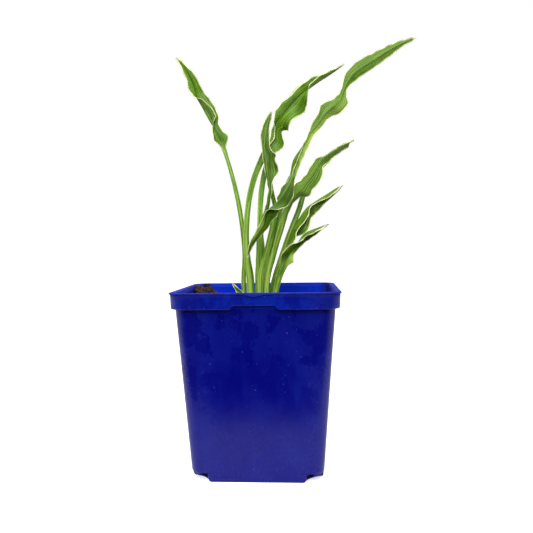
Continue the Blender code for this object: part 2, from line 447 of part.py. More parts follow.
def make_soil(collection, clods, cutters, finish):
    """The potting soil: it fills the pot, carries clods and has one hole for the crown and its roots."""
    along = [s * MM for s in (-24, -12, 0, 12, 24)]
    inset = WALL + GAP
    inner_diagonal = (FOOT_HALF_LENGTH + WALL_HALF_FOOT) - inset * math.sqrt(2)
    foot_half = WALL_HALF_FOOT - inset
    edge = wall_half(SOIL_LEVEL) - inset
    rings = [
        square_ring(foot_half, 0, FLOOR + GAP, along, 4, inner_diagonal - foot_half),
        square_ring(foot_half, 0, CORNER_LIFT + WALL + GAP, along, 4, inner_diagonal - foot_half),
        square_ring(wall_half(CORNER_LIFT) - inset, WALL_CORNER - inset, CORNER_LIFT + WALL + GAP + 1 * MM, along),
        square_ring(edge - 0.1 * MM, WALL_CORNER - inset, SOIL_LEVEL - 2 * MM, along),
    ]
    for share in (0.985, 0.9, 0.8, 0.69, 0.58, 0.47, 0.36, 0.22):
        flat = square_ring(edge, WALL_CORNER - inset, 0, along)
        rings.append([Vector((p.x * share, p.y * share, SOIL_LEVEL + soil_swell(p.x * share, p.y * share)))
                      for p in flat])
    soil = add_object("potting_soil", loft(rings, (0, 0, FLOOR + GAP), (0, 0, SOIL_LEVEL)), collection, finish)

    draw = random.Random(CLOD_SEED)
    lumps = [tuple(value * MM for value in clod) for clod in HEAP]
    while len(lumps) < len(HEAP) + SCATTERED_CLODS:
        x, y = (draw.uniform(-0.8, 0.8) * edge for _ in range(2))
        if math.hypot(x, y) > 25 * MM:
            radius = draw.uniform(1.8, 3.4) * MM
            lumps.append((x, y, SOIL_LEVEL + soil_swell(x, y) + 0.2 * radius, radius))
    for index, (x, y, z, radius) in enumerate(lumps):
        bm = bmesh.new()
        bmesh.ops.create_icosphere(bm, subdivisions=1, radius=radius)
        tilt = Matrix.Rotation(draw.uniform(0, math.pi), 4, Vector((draw.random(), draw.random(), 1)))
        bm.transform(Matrix.Translation((x, y, z)) @ tilt @ Matrix.Diagonal((1, 0.85, 0.75, 1)))
        add_object(f"clod_{index}", bm, clods)
    combine(soil, clods, "UNION")

    add_object("crown_cutter", crown_body(GAP, SOIL_LEVEL + 6 * MM), cutters)
    for index in range(ROOTS):
        add_object(f"root_cutter_{index}", root_body(index, GAP), cutters)
    combine(soil, cutters, "DIFFERENCE")
    return soil


def unit(vectors):
    """Vectors of length 1."""
    return vectors / np.linalg.norm(vectors, axis=-1, keepdims=True)


def through(knots, values, at, limited=False):
    """Smooth curve through values at knots, read at places; a limited one doesn't overshoot."""
    step = np.diff(knots)[:, None]
    secant = np.diff(values, axis=0) / step
    before, after = secant[:-1], secant[1:]
    if limited:
        same = before * after > 0
        inner = np.where(same, 2 * before * after / np.where(same, before + after, 1), 0)
    else:
        inner = (step[1:] * before + step[:-1] * after) / (step[1:] + step[:-1])
    slope = np.vstack((secant[:1], inner, secant[-1:]))
    i = np.clip(np.searchsorted(knots, at, side="right") - 1, 0, len(knots) - 2)
    s = ((at - knots[i]) / (knots[i + 1] - knots[i]))[:, None]
    return ((1 + 2 * s) * (1 - s) ** 2 * values[i] + s * (1 - s) ** 2 * step[i] * slope[i]
            + s * s * (3 - 2 * s) * values[i + 1] + s * s * (s - 1) * step[i] * slope[i + 1])


def leaf_sides(upper_front, blade, stations, side=None):
    """The front and back face of a leaf as grids of points, rows along it and columns across."""
    drawn = np.array(stations, dtype=float)
    depth = drawn[:, 2:3] * MM
    scale = (depth - EYE[1]) / -EYE[1]
    flat = np.column_stack((drawn[:, 0], np.zeros(len(drawn)), drawn[:, 1])) * MM
    midrib = EYE + (flat - EYE) * scale
    knots = np.concatenate(([0], np.cumsum(np.linalg.norm(np.diff(midrib, axis=0), axis=1))))
    stops = np.linspace(0, len(knots) - 1, ROWS_PER_STATION * (len(knots) - 1) + 1)
    at = np.interp(stops, np.arange(len(knots)), knots)

    middle = through(knots, midrib, at)
    ahead = through(knots, midrib, np.minimum(at + PLUCK, knots[-1]))
    behind = through(knots, midrib, np.maximum(at - PLUCK, 0))
    along = unit(ahead - behind)
    across = np.cross(along, unit(EYE - middle)) if side is None else np.broadcast_to(side, along.shape)
    across = unit(across - (across * along).sum(axis=1, keepdims=True) * along)
    front = np.cross(across, along)

    shape = through(knots, np.hstack((drawn[:, 3:], scale)), at, limited=True)
    bladed = np.clip((at - knots[blade]) / (2 * BLADE_BLEND) + 0.5, 0, 1)[:, None]
    bladed = bladed * bladed * (3 - 2 * bladed)
    bow = (PETIOLE_BOW * (1 - bladed) + BLADE_BOW * bladed) * (1 if upper_front else -1)
    halves = []
    for sign, width, turn in ((-1, shape[:, 0:1], shape[:, 1:2]), (1, shape[:, 2:3], shape[:, 3:4])):
        turn = np.radians(turn)
        halves.append(((width * MM - PETIOLE_THICK[1] / 2 * (1 - bladed)) * shape[:, 4:5],
                       sign * np.cos(turn) * across + np.sin(turn) * front,
                       sign * np.sin(turn) * across - np.cos(turn) * front))

    faces = ([], [])
    for u in ACROSS:
        root = math.hypot(u, FOLD_ROUNDING)
        place, run = middle.copy(), np.zeros_like(middle)
        for sign, (width, outward, bulge) in zip((-1, 1), halves):
            reach = (root + sign * u - FOLD_ROUNDING) / 2
            place += width * reach * outward
            run += sign * width * (1 + sign * u / root) / 2 * outward
            if sign * u > 0:
                s = abs(u)
                place += width * bow * 4 * s * (1 - s) * bulge
                run += sign * width * bow * 4 * (1 - 2 * s) * bulge
        normal = unit(np.cross(run, along))
        thick = ((1 - bladed) * (PETIOLE_THICK[0] + (PETIOLE_THICK[1] - PETIOLE_THICK[0]) * abs(u))
                 + bladed * (BLADE_THICK[0] + (BLADE_THICK[1] - BLADE_THICK[0]) * min(1, 2 * abs(u))))
        faces[0].append(place + normal * thick / 2)
        faces[1].append(place - normal * thick / 2)
    front_face, back_face = (np.stack(face, axis=1) for face in faces)
    for face in (front_face, back_face):
        face[0, :, 2] = PETIOLE_FOOT
    return front_face, back_face


def make_leaf(name, spec, collection, finish):
    """One leaf, a closed loft from the petiole's foot to the tip, split alike on both faces."""
    bm = bmesh.new()
    front, back = ([[bm.verts.new(point) for point in row] for row in face] for face in leaf_sides(**spec))

    def pave(a, b, c, d):
        bm.faces.new((a, b, c))
        bm.faces.new((a, c, d))

    last = len(ACROSS) - 1
    for row in range(len(front) - 1):
        for k in range(last):
            pave(front[row][k], front[row][k + 1], front[row + 1][k + 1], front[row + 1][k])
            bm.faces.new((back[row][k], back[row + 1][k + 1], back[row][k + 1]))
            bm.faces.new((back[row][k], back[row + 1][k], back[row + 1][k + 1]))
        pave(back[row][0], front[row][0], front[row + 1][0], back[row + 1][0])
        pave(front[row][last], back[row][last], back[row + 1][last], front[row + 1][last])
    for k in range(last):
        pave(back[0][k], back[0][k + 1], front[0][k + 1], front[0][k])
        pave(front[-1][k], front[-1][k + 1], back[-1][k + 1], back[-1][k])
    leaf = add_object(name, bm, collection, finish)
    leaf.data.shade_smooth()
    leaf.data.set_sharp_from_angle(angle=math.radians(50))
    return leaf


def main():
    """Build every piece of the potted hosta."""
    for old in list(bpy.data.objects):
        bpy.data.objects.remove(old)
    parts = bpy.data.collections.new("potted_hosta")
    cutters = bpy.data.collections.new("cutters")
    joined = bpy.data.collections.new("joined")
    for collection in (parts, cutters, joined):
        bpy.context.scene.collection.children.link(collection)

    make_pot(parts, joined, cutters, material("blue_plastic", (0.009, 0.020, 0.30), 0.4))
    make_crown(parts, joined, material("crown_flesh", (0.35, 0.27, 0.15), 0.7))
    make_soil(parts, joined, cutters, material("potting_soil", (0.045, 0.028, 0.018), 0.95))
    leaf_green = material("leaf_green", (0.13, 0.27, 0.045), 0.45)
    for name, spec in LEAVES.items():
        make_leaf(name, spec, parts, leaf_green)


main()
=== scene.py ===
"""Potted hosta: the finished look of a young hosta in a square nursery pot.

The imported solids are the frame. The leaves and the pot are modelled again in fine detail in the same
places, the soil gets its crumbs, and the stage holds a pale floor, soft light and the camera.
"""

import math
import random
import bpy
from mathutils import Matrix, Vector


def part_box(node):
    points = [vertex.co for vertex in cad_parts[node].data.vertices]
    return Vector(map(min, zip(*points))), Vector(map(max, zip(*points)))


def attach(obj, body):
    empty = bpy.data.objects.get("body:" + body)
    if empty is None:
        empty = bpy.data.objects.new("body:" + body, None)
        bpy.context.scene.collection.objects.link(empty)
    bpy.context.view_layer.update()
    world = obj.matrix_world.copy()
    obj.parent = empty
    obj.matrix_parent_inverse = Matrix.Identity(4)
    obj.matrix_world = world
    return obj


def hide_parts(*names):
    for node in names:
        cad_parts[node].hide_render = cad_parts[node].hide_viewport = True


bl_info = {
    "name": "Potted Hosta",
    "version": (1, 0, 0),
    "blender": (4, 5, 0),
    "location": "View3D > Sidebar > Hosta",
    "description": "Builds a young hosta in a square nursery pot",
    "category": "Object",
}

from functools import partial

import bmesh
import bpy
import numpy as np
from bpy.props import FloatProperty, FloatVectorProperty, IntProperty, PointerProperty
from mathutils import Matrix, Vector, noise

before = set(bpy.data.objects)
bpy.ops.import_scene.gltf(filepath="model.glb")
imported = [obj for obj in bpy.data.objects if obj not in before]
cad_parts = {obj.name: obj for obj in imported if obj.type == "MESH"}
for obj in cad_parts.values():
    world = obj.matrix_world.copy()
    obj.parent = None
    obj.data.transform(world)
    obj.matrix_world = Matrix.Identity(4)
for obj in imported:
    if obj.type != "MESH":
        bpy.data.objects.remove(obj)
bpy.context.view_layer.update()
MM = 0.001

# Pot, as in the solids
LIP_HALF, _, POT_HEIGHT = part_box("pot")[1]
WALL_HALF_TOP = 54.8 * MM
WALL_HALF_FOOT = 45.3 * MM
WALL = 1.2 * MM
WALL_CORNER = 9 * MM
LIP_CORNER = 11 * MM
LIP_THICK = 1.1 * MM
SKIRT_HALF = 57.2 * MM
SKIRT_DEPTH = 11 * MM
SKIRT_DRAFT = 0.3 * MM
FLOOR = 1.5 * MM
FOOT_HALF_LENGTH = 33 * MM
CORNER_LIFT = 6.4 * MM
FOOT_ROUNDING = 2.4 * MM
FOOT_HOLLOW = 2.4 * MM
NOTCH_HALF = 13.5 * MM
NOTCH_RUN = 3 * MM
NOTCH_HEIGHT = 2.6 * MM
PANEL_HALF = 12.5 * MM
PANEL_RUN = 1 * MM
PANEL_DEPTH = 0.4 * MM
DIP_HALF = 8 * MM
DIP_DEPTH = 1.3 * MM
NUB_SIZE = (2.6 * MM, 8 * MM, 3.2 * MM)
NUB_REACH = 58.2 * MM
NUB_FOOT = 4.1 * MM
NUB_ROUNDING = 0.7 * MM
SLOT_SIZE = (8 * MM, 12 * MM, 3.4 * MM)
SLOT_SILL = 1.9 * MM
SLOT_ROUNDING = 0.8 * MM

# Pot, finer than the solids: the dish of its walls, and the points of a ring
DISH = 0.25 * MM
DISH_HALF = 30 * MM
CORNER_STEPS = 10
SIDE_MARKS = [s * MM for s in (-28, -24, *range(-21, 22), 24, 28)]

# Where marks on the pot set in and where they are full, above the table or from the middle
SKIRT_BAND = (118.5 * MM, 119.5 * MM)
SPLASH = (66 * MM, 26 * MM)
# Less dust towards the right: painted shade on that side
SPLASH_SHADE_SIDE = (0, 35 * MM)
FILM_CORNER = (16 * MM, 42 * MM)
SCUFF_CORNER = (28 * MM, 50 * MM)
WASH = (70 * MM, 100 * MM)
STAINS = (50 * MM, 85 * MM)
SHADE_SIDE = (46 * MM, 51 * MM)
GRIME_SIDE = (-40 * MM, -48 * MM)
GRIME_BACK = (-30 * MM, 10 * MM)
GRIME_FOOT = (120 * MM, 126 * MM)
DULL_LIP = (126.5 * MM, 129 * MM)

# Soil, as in the solids, with finer lumps given by their height and how many fill a metre. The heap's
# clods have their middle and radius in millimetres, and no crumb on it lies further left than HEAP_SIDE.
SOIL_LEVEL = 118.6 * MM
SOIL_WAVE = 0.6 * MM
SOIL_LUMPS = ((1.6 * MM, 210), (1.1 * MM, 520))
SOIL_CELLS = 110
HEAP = ((-50.2, 27, 127.6, 3.2), (-48.4, 31, 124.5, 4.6), (-46, 24, 124, 5.2), (-42, 28, 126.6, 3.2),
        (-41, 33, 122.5, 4.6), (-37, 27, 121.5, 4.6), (-44, 20, 121, 4.6), (-38, 21, 120, 4.4),
        (-48.4, 19, 121, 3.8), (-46.5, 36, 121, 4.6), (-34, 32, 119.8, 4.0), (-49.5, 24.5, 126.8, 2.6))
HEAP_SIDE = -51.5 * MM

# Stage
FLOOR_REACH = 3
FOCAL_PIXELS = 600
PICTURE_PIXELS = 533
SENSOR_WIDTH = 36
ROOM_FADE = (-0.75, 0.2)
LAMP_AIM = Vector((0, 0, 0.15))

# Leaves: a bow is a share of the width, and a thickness, in millimetres, is given for the midrib, with
# how much less of it there is at the edge
PETIOLE_FOOT = 117.6 * MM
PETIOLE_TURN = 45
PETIOLE_BOW = 0.30
PETIOLE_THICK = (1.5, 0.9)
BLADE_BLEND = 8 * MM
BLADE_BOW = -0.07
BLADE_THICK = (0.62, 0.3)
FOLD_ROUNDING = 0.12
TIP_TAPER = 5 * MM
TIP_LEAST = 0.35
TANGENT_STEP = 0.5 * MM
LEAST_ROWS = 40
NEVER_PALE = (2, 3, 4, 5)
EYE = np.array((32.2, -446.3, 159.3)) * MM

# under_front: whether the underside faces the front. blade: the station that the blade starts at.
# side: the way across the leaf, where the view doesn't give it. tone: how much lighter than the others the
# leaf is painted, a painted light and shade that is darkest on the leaves at the back.
# edge: the cream edge's width beside theirs. pale: how far along a strip of painted light in the petiole's
# pale colour comes in and goes.
# Each station: x and z of the midrib as drawn on the plane y = 0 and seen from EYE, its depth y, then
# for the left and the right half its width and its turn in degrees, towards the front where positive.
# A half that isn't given is like the other, and a turn that isn't given is the petiole's.
LEAVES = {
    "leaf_far_left": dict(blade=8, tone_and_shade=-0.15, stations=(
        (-11.2, 117, 4, 2, 40), (-11.8, 126, 4, 2, 40), (-11.8, 140, 4, 1.9, 40), (-10.9, 152, 4, 1.8, 40),
        (-11.8, 170, 4, 1.8, 40), (-14.4, 190, 4, 1.8, 40), (-18.6, 210, 5, 1.6, 40),
        (-22.7, 225, 6.5, 1.4, 40), (-25.6, 234, 8, 1.8, 35, 2.2, 15), (-27.8, 240.6, 9, 5.8, 30, 6.2, 0),
        (-30.3, 245.7, 10, 4.2, 32, 4.2, -15), (-32.9, 249.7, 11, 3, 100, 5, -10),
        (-35.9, 254.5, 12, 7.8, 158, 8.9, -10), (-39.1, 260.5, 13, 7.3, 160, 9.5, -12),
        (-42.3, 266.5, 14, 5, 150, 8.8, -8), (-45.2, 272.3, 15.5, 4, 60, 7, 5),
        (-46.9, 278.5, 17, 4.8, 22, 5.8, 25), (-49.5, 285.2, 18.5, 3.7, 28, 5.4, 32),
        (-52.9, 291.5, 19.5, 2.9, 30, 3.8, 35), (-56.4, 296.9, 21, 1.9, 35, 2.3, 35),
        (-60.5, 301.9, 22, 0.5, 0))),
    "leaf_high_centre": dict(blade=9, stations=(
        (-5.6, 117, -1, 3.4), (-6.5, 126, -1, 3.8), (-7.2, 140, -2, 3.5), (-8.7, 150, -2, 3),
        (-9.5, 162, -2, 2.6), (-8.9, 180, -2, 2.4), (-6.1, 200, 0, 2.5), (-1.6, 215, 2, 2.6),
        (2.8, 225, 4, 2.7, 45, 2.9, 40), (6, 232, 6, 3, 70, 8.4, 28), (7.8, 235.5, 7, 3.5, 120, 11, 15),
        (9.4, 239, 8, 3.8, 140, 11.8, 0), (10.6, 243, 8, 3.6, 140, 9, 0), (12, 247.3, 8, 3, 120, 7, 4),
        (13.4, 250.8, 8, 2.8, 60, 11.5, 8), (15.4, 253.6, 8, 4, 28, 10.6, 24),
        (18, 256.4, 8, 6.2, -8, 10.6, 42), (22, 261.2, 8, 6.4, -14, 10.2, 26),
        (24.5, 264.2, 8, 5.8, -15, 11.2, 8), (27, 267, 8, 4.7, -15, 11.6, 0),
        (29.8, 269.8, 8, 4.3, -12, 9.8, 2), (32.4, 272, 8, 5.3, -8, 7.4, 16),
        (37.3, 275.2, 8, 6.3, 0, 4.5, 90), (42, 278.4, 7, 6.5, -10, 4.6, 135),
        (47.2, 281.8, 6, 5.1, -10, 4.6, 145), (53.5, 285.6, 5, 3.3, -10, 3.6, 145),
        (59.5, 289.6, 4, 1.7, -10, 2, 140), (64.5, 293.2, 3, 0.5, 0, 0.5, 60))),
    "leaf_back_centre": dict(blade=10, tone_and_shade=-0.35, stations=(
        (-0.8, 117, -4, 2.2), (-1.2, 126, -4, 2.1), (-1.3, 140, -4, 2.1), (-0.6, 150, -3, 2.2),
        (0.2, 165, -2, 2.3), (0.9, 180, -1, 2.3), (1.3, 190, 1, 2.3), (2.4, 202, 3, 2.4), (4.6, 214, 6, 2.4),
        (8, 225, 13, 2.4), (10.8, 235, 19.5, 3.6), (13.5, 244, 24, 5.5), (18, 255, 26, 5.5),
        (23.6, 264.5, 27, 4, 45, 4.5, 45), (27.7, 272.6, 28, 2.4, 35, 3, 45), (31, 279.4, 29, 0.5, 0))),
    "leaf_upright_centre": dict(under_front=True, blade=7, tone_and_shade=-0.2, stations=(
        (-0.5, 117, 6, 2), (-0.5, 126, 5.5, 2), (1.2, 141, 5, 2), (2.5, 155, 5, 2), (2.4, 161, 5, 2),
        (1.7, 169, 4.5, 1.9), (2.8, 177.5, 3.5, 1.9, -45, 2, -45), (4.8, 183.5, 1, 2.2, -40),
        (6.6, 190, -2, 2.2, -50, 2.2, -45), (7.8, 197, -4, 2.2, -55, 2.2, -45),
        (8.5, 202, -5, 2.2, -60, 2.4, -45), (8.1, 206.2, -5.5, 2.3, -62, 3.2, -40),
        (7.4, 210.6, -6, 2.4, -65, 6.6, -40), (6.7, 215.2, -6.5, 2.4, -65, 12.6, -42),
        (6.1, 219.2, -7, 2.4, -65, 12, -42), (5.6, 223.4, -7.5, 2.4, -62, 10.7, -42),
        (5.1, 227.8, -8, 2.4, -60, 12, -42), (4.8, 231.6, -8, 2.6, -58, 8.4, -42),
        (4.8, 234.8, -8, 2.9, -50, 6.2, -42), (5.1, 238, -8, 3.9, -45, 5.2, -42),
        (5.7, 242.4, -8, 4.9, -42, 4.6, -45), (6.4, 246.8, -8, 5, -42, 3.3, -45),
        (7.4, 251.1, -8, 4.2, -42, 2.9, -45), (8.8, 255.6, -8, 2.8, -42, 2.2, -45),
        (10.5, 259.9, -8, 0.5, 0))),
    "leaf_drooping_front": dict(blade=9, side=(0.75, 0, -0.66),
        tone_and_shade=-0.2, edge=0.6, pale=(0.80, 0.85, 0.92, 0.95), stations=(
        (1.2, 117, -7.5, 2), (0.6, 126, -8, 2), (1.2, 140, -8, 2), (3.6, 150, -8, 2), (6.4, 160, -8, 2.1),
        (9.2, 171, -7, 2.2), (12.5, 184, -6, 2.2), (17.5, 197, -6, 2.1), (23.2, 208.6, -9, 2.2, 45, 2.4, 45),
        (25.8, 213, -15, 2, 45, 2.6, 30), (23.9, 208, -21.5, 2.2, 20, 4.4, 28),
        (20.4, 201.9, -24, 3.9, 24, 8.7, 34), (16.6, 196.4, -25, 3, 40, 9.2, 32),
        (12.6, 191.8, -25.5, 6.6, 146, 5.8, -5), (8.2, 188.3, -25.5, 8.3, 165, 3.4, -70),
        (5.9, 184.8, -25, 7.5, 170, 2.4, -105), (4.9, 181, -24.5, 6, 167, 2.6, -130),
        (4.1, 176.8, -24, 3.9, 165, 3.6, -145), (1.6, 172.4, -23.5, 2.9, 165, 3.6, -152),
        (-1.8, 167.7, -23, 2.3, 165, 2.8, -155), (-5.7, 162, -22, 1.9, 165, 1.9, -155),
        (-7.6, 157.1, -21.5, 1.3, 165, 1.2, -155), (-8.8, 152.2, -21, 0.5, 165, 0.5, -155))),
    "leaf_tallest_right": dict(under_front=True, blade=7, tone_and_shade=0.1, pale=(0.36, 0.47, 0.57, 0.72), stations=(
        (3, 117, 0.5, 2.8), (2.4, 126, 0, 2.8), (4.4, 140, 0, 2.7), (7.2, 150, 0, 2.7), (10.4, 161, 1, 2.7),
        (13.6, 175, 1, 2.8), (16.8, 188, 2, 2.8), (20.6, 202, 3, 2.4, 10, 3.4, -40),
        (24.2, 214.6, 4, 2.4, 150, 4.9, -2), (26.3, 223.6, 4, 3.8, 154, 6.3, 2),
        (31.4, 231.4, 4, 2, 145, 5, 6), (35.8, 236.8, 4, 1.2, -10, 3.2, 8),
        (39.4, 243.8, 5, 2, -25, 3.4, -15), (44.2, 249.8, 6, 4.1, -20, 4.4, -32),
        (48, 255, 6, 4.4, -18, 4.8, -38), (52, 259.6, 6, 7.2, -20, 6.5, -42), (57, 264, 7, 6, -40, 7.7, -5),
        (60.2, 267.4, 8, 5, -50, 7.9, 8), (62.3, 271.3, 9, 2.6, -35, 4, -10),
        (63.9, 275.6, 10, 2.2, -30, 2.8, -22), (66.6, 281.3, 11, 3.6, -24, 4.5, -18),
        (71, 286.6, 12, 5, -22, 5.7, -14), (78, 291.3, 13, 5.6, -20, 5.7, -12),
        (86.5, 296.3, 14, 5, -20, 5.3, -12), (95.5, 301.7, 15, 3.8, -20, 4.7, -14),
        (104.3, 306.2, 16, 2.6, -20, 3, -18), (111.7, 309, 17, 1.6, -20, 1.8, -20),
        (117, 310.8, 18, 0.5, 0))),
    "leaf_middle_right": dict(under_front=True, blade=6, tone_and_shade=0.2, stations=(
        (5.8, 117, -4, 2.3), (5.2, 126, -4.5, 2.3), (6.9, 140, -5, 2.2), (9.9, 151, -5, 2.3),
        (13.2, 163, -5, 2.4), (16.5, 174, -5, 2.8), (19.4, 183, -5, 3.6, -45, 2.8, -45),
        (23.2, 191.5, -5, 4.2, -45, 2.8, -45), (28, 199, -6, 5.2, -35, 4.6, -25),
        (31.9, 203.7, -6.5, 5.8, -25, 9.4, 10), (34.5, 206.9, -7, 4.4, -40, 8.1, 10),
        (38.3, 211.5, -8, 4.1, -40, 8.9, 10), (42.2, 217.4, -9, 4.6, -35, 6.9, 0),
        (45.2, 221.6, -9.5, 4.4, -30, 4.7, -20), (49.5, 225.5, -10, 1.4, -10, 5.7, -40),
        (55.4, 229.4, -11, 1.2, 0, 4.7, -40), (60.6, 232.7, -12, 1.2, 0, 4.7, -40),
        (64.2, 234.6, -12.5, 1.1, -10, 4.4, -40), (66, 235.4, -13, 1, -30, 3.8, -40),
        (67.4, 236, -13, 0.8, -20, 0.9, -30), (71, 237.6, -13.5, 0.5, 0))),
    "leaf_back_right": dict(blade=8, tone_and_shade=-0.3, stations=(
        (8.9, 117, 2.2, 2.2), (9.1, 126, 2.5, 2.2), (11.4, 137, 3, 2.2), (15, 148, 3, 2.2),
        (18.6, 158, 3, 2.3), (22.2, 168, 3, 2.3), (26.2, 178, 5, 2.3), (30.2, 188, 7.5, 2.3),
        (33, 197, 10.5, 2.4), (36.5, 205, 13.5, 4, 45, 4.5, 45), (41.5, 213, 16, 5, 45, 5.5, 45),
        (47.8, 220.5, 18, 4.2, 50, 4.5, 50), (55.5, 227, 20, 3, 55, 3, 50), (62, 231.3, 21.5, 1.8),
        (66.8, 233.9, 22.5, 0.8, 20))),
    "leaf_lower_right": dict(under_front=True, blade=4, stations=(
        (11.4, 117, -1.2, 2), (11.6, 126, -1.5, 2), (13.6, 136, -2.5, 2), (16.8, 146, -3, 2),
        (19.6, 154, -3, 2), (22, 159.5, -3.5, 2.6, 60, 3, -25), (22.4, 163.6, -4, 6, 128, 4.4, 0),
        (23.2, 168.4, -4.5, 7.2, 140, 5.4, 6), (24.7, 172.3, -5, 6, 140, 9.2, 12),
        (27.7, 177.1, -5.5, 6.6, 140, 11.6, 14), (30.7, 181.5, -6, 6.8, 144, 9.8, 6),
        (33.7, 185.9, -6.5, 6.2, 148, 8.2, -8), (36.7, 189.2, -7.5, 3.8, 145, 8.4, -10),
        (40.4, 191.7, -8.5, 1.9, 140, 7.4, -10), (45.6, 195.1, -10, 3, 140, 5.8, -12),
        (50.8, 198.2, -11, 3.7, 145, 4.6, -15), (55.2, 201, -12, 3.2, 148, 3.7, -15),
        (58.9, 203.1, -13, 2.2, 145, 2.4, -15), (62.3, 204.9, -14, 0.5, 100, 0.5, -10))),
    "leaf_lowest_right": dict(blade=4, pale=(0.36, 0.42, 0.50, 0.56), stations=(
        (11.7, 117, -6.5, 2.4), (12.1, 126, -7, 2.4), (14, 134, -8, 2.5),
        (16.3, 141.5, -9, 2.6, 40, 2.7, 40), (18.6, 147.2, -10, 3.2, 25, 3.8, 35),
        (21.2, 152.2, -11, 5.6, 26, 7.2, 42), (23.8, 156.2, -12.5, 5, 25, 3, 15),
        (27.1, 160.1, -14, 4, 30, 2.8, -5), (29.8, 164.1, -15.5, 3, 105, 4.4, -10),
        (32.3, 167.8, -17, 3.4, 141, 5.9, -12), (35.8, 170.5, -18.5, 3.6, 147, 5.9, -12),
        (40.2, 172.4, -20, 3.7, 148, 5, -12), (44.7, 173.9, -21.5, 2.7, 148, 3.1, -12),
        (48.4, 175.2, -23, 1.7, 145, 1.7, -10), (51.7, 176.5, -24.5, 0.5, 100, 0.5, -10))),
    "leaf_young_centre": dict(blade=10, tone_and_shade=-0.4, stations=(
        (4.3, 117, 10, 1.7), (4.6, 126, 10, 1.7), (5.6, 140, 10, 1.7), (8.4, 152, 10, 1.7),
        (11.4, 163, 9, 1.7), (13.4, 174, 8, 1.7), (13.2, 184, 7, 1.7), (11.9, 192, 5, 1.8),
        (10.1, 200, 3, 1.8), (8.6, 208, 1.5, 2.2), (7.6, 216, 1, 2.8, 50), (7, 225, 1, 3.2, 50),
        (6.8, 234, 1, 2.8, 50), (7.4, 242, 0.5, 0.5, 0))),
    "sheath_leaf_left": dict(blade=2, tone_and_shade=-0.3, edge=0.45, stations=(
        (-8.6, 117, -7, 2), (-10, 119.6, -7, 2.2, 40, 2.4, 40), (-12.2, 122.6, -7, 2.4, 30),
        (-15.2, 126.6, -7, 2.2, 20, 2, 30), (-17.8, 129.8, -7, 1.4, 20, 1.2, 30),
        (-20.2, 132.9, -7, 0.5, 0))),
}

# What a leaf's mesh says at each point, for its finish
LEAF_MASKS = ("upper", "blade", "edge_mm", "tone_and_shade", "pale")


def remap(value, low, high):
    """Smooth share of the way from low to high, for numbers and arrays."""
    share = np.clip((value - low) / (high - low), 0, 1)
    return share * share * (3 - 2 * share)


# Shader nodes


def put(tree, kind, inputs=None, **settings):
    """Add a shader node of a kind, set its properties, and set or link its inputs."""
    made = tree.nodes.new("ShaderNode" + kind)
    for key, value in settings.items():
        setattr(made, key, value)
    for key, value in (inputs or {}).items():
        if isinstance(value, bpy.types.NodeSocket):
            tree.links.new(value, made.inputs[key])
        else:
            made.inputs[key].default_value = value
    return made


def math_node(operation, first, *others, clamp=False):
    """What Math nodes make of values, taken one after the other, with only the last result clamped."""
    tree = next(value.id_data for value in (first, *others) if isinstance(value, bpy.types.NodeSocket))
    for other in others or (0,):
        made = put(tree, "Math", {0: first, 1: other}, operation=operation)
        first = made.outputs[0]
    made.use_clamp = clamp
    return first


times = partial(math_node, "MULTIPLY")
plus = partial(math_node, "ADD")


def ramp(value, low, high, to_low=0.0, to_high=1.0):
    """A smooth Map Range node's result."""
    inputs = {"Value": value, "From Min": low, "From Max": high, "To Min": to_low, "To Max": to_high}
    return put(value.id_data, "MapRange", inputs, interpolation_type="SMOOTHSTEP").outputs["Result"]


def split(vector):
    """The three parts of a vector."""
    return put(vector.id_data, "SeparateXYZ", {0: vector}).outputs[:]


def coats(colour, *layers):
    """A colour with layers over it, each a mask, how strong the mask is, and the layer's colour."""
    for mask, strength, paint in layers:
        first, second = (value if isinstance(value, bpy.types.NodeSocket) else (*value, 1)
                         for value in (colour, paint))
        inputs = {0: times(mask, strength), 6: first, 7: second}
        colour = put(mask.id_data, "Mix", inputs, data_type="RGBA").outputs[2]
    return colour


# The noise's size, where it sets in and is full, its detail, and how far it is drawn out in height
MOTTLE_INPUTS = {"Size": 10 * MM, "Low": 0.4, "High": 0.6, "Detail": 4.0, "Stretch": 1.0}


def mottle_group():
    """Patches of noise on the object's own coordinates, shared by all the finishes."""
    group = bpy.data.node_groups.get("Mottle")
    if group:
        return group
    group = bpy.data.node_groups.new("Mottle", "ShaderNodeTree")
    for name, value in MOTTLE_INPUTS.items():
        group.interface.new_socket(name, in_out="INPUT", socket_type="NodeSocketFloat").default_value = value
    group.interface.new_socket("Mask", in_out="OUTPUT", socket_type="NodeSocketFloat")
    given = group.nodes.new("NodeGroupInput").outputs
    place = put(group, "TexCoord").outputs["Object"]
    stretch = put(group, "CombineXYZ", {0: 1, 1: 1, 2: given["Stretch"]})
    pulled = put(group, "VectorMath", {0: place, 1: stretch.outputs[0]}, operation="DIVIDE")
    texture = put(group, "TexNoise", {
        "Vector": pulled.outputs[0], "Scale": math_node("DIVIDE", 1.0, given["Size"]),
        "Detail": given["Detail"], "Roughness": 0.6})
    mask = ramp(texture.outputs["Fac"], given["Low"], given["High"])
    group.links.new(mask, group.nodes.new("NodeGroupOutput").inputs["Mask"])
    return group


def mottle(tree, *values):
    """Place the Mottle group with its own values for the first of its inputs."""
    return put(tree, "Group", dict(zip(MOTTLE_INPUTS, values)), node_tree=mottle_group()).outputs["Mask"]


def new_material(name, roughness, specular):
    """A material with its node tree, ready for links."""
    made = bpy.data.materials.new(name)
    made.use_nodes = True
    inputs = made.node_tree.nodes["Principled BSDF"].inputs
    inputs["Roughness"].default_value = roughness
    inputs["Specular IOR Level"].default_value = specular
    return made, made.node_tree


def wire(made, colour, relief, depth, strength=1.0, rough=None):
    """Feed a material's shader its colour, its relief with a depth in metres, and a roughness that varies."""
    tree = made.node_tree
    bump = put(tree, "Bump", {"Height": relief, "Distance": depth, "Strength": strength})
    for key, value in {"Base Color": colour, "Normal": bump.outputs["Normal"], "Roughness": rough}.items():
        if value is not None:
            tree.links.new(value, tree.nodes["Principled BSDF"].inputs[key])
    return made


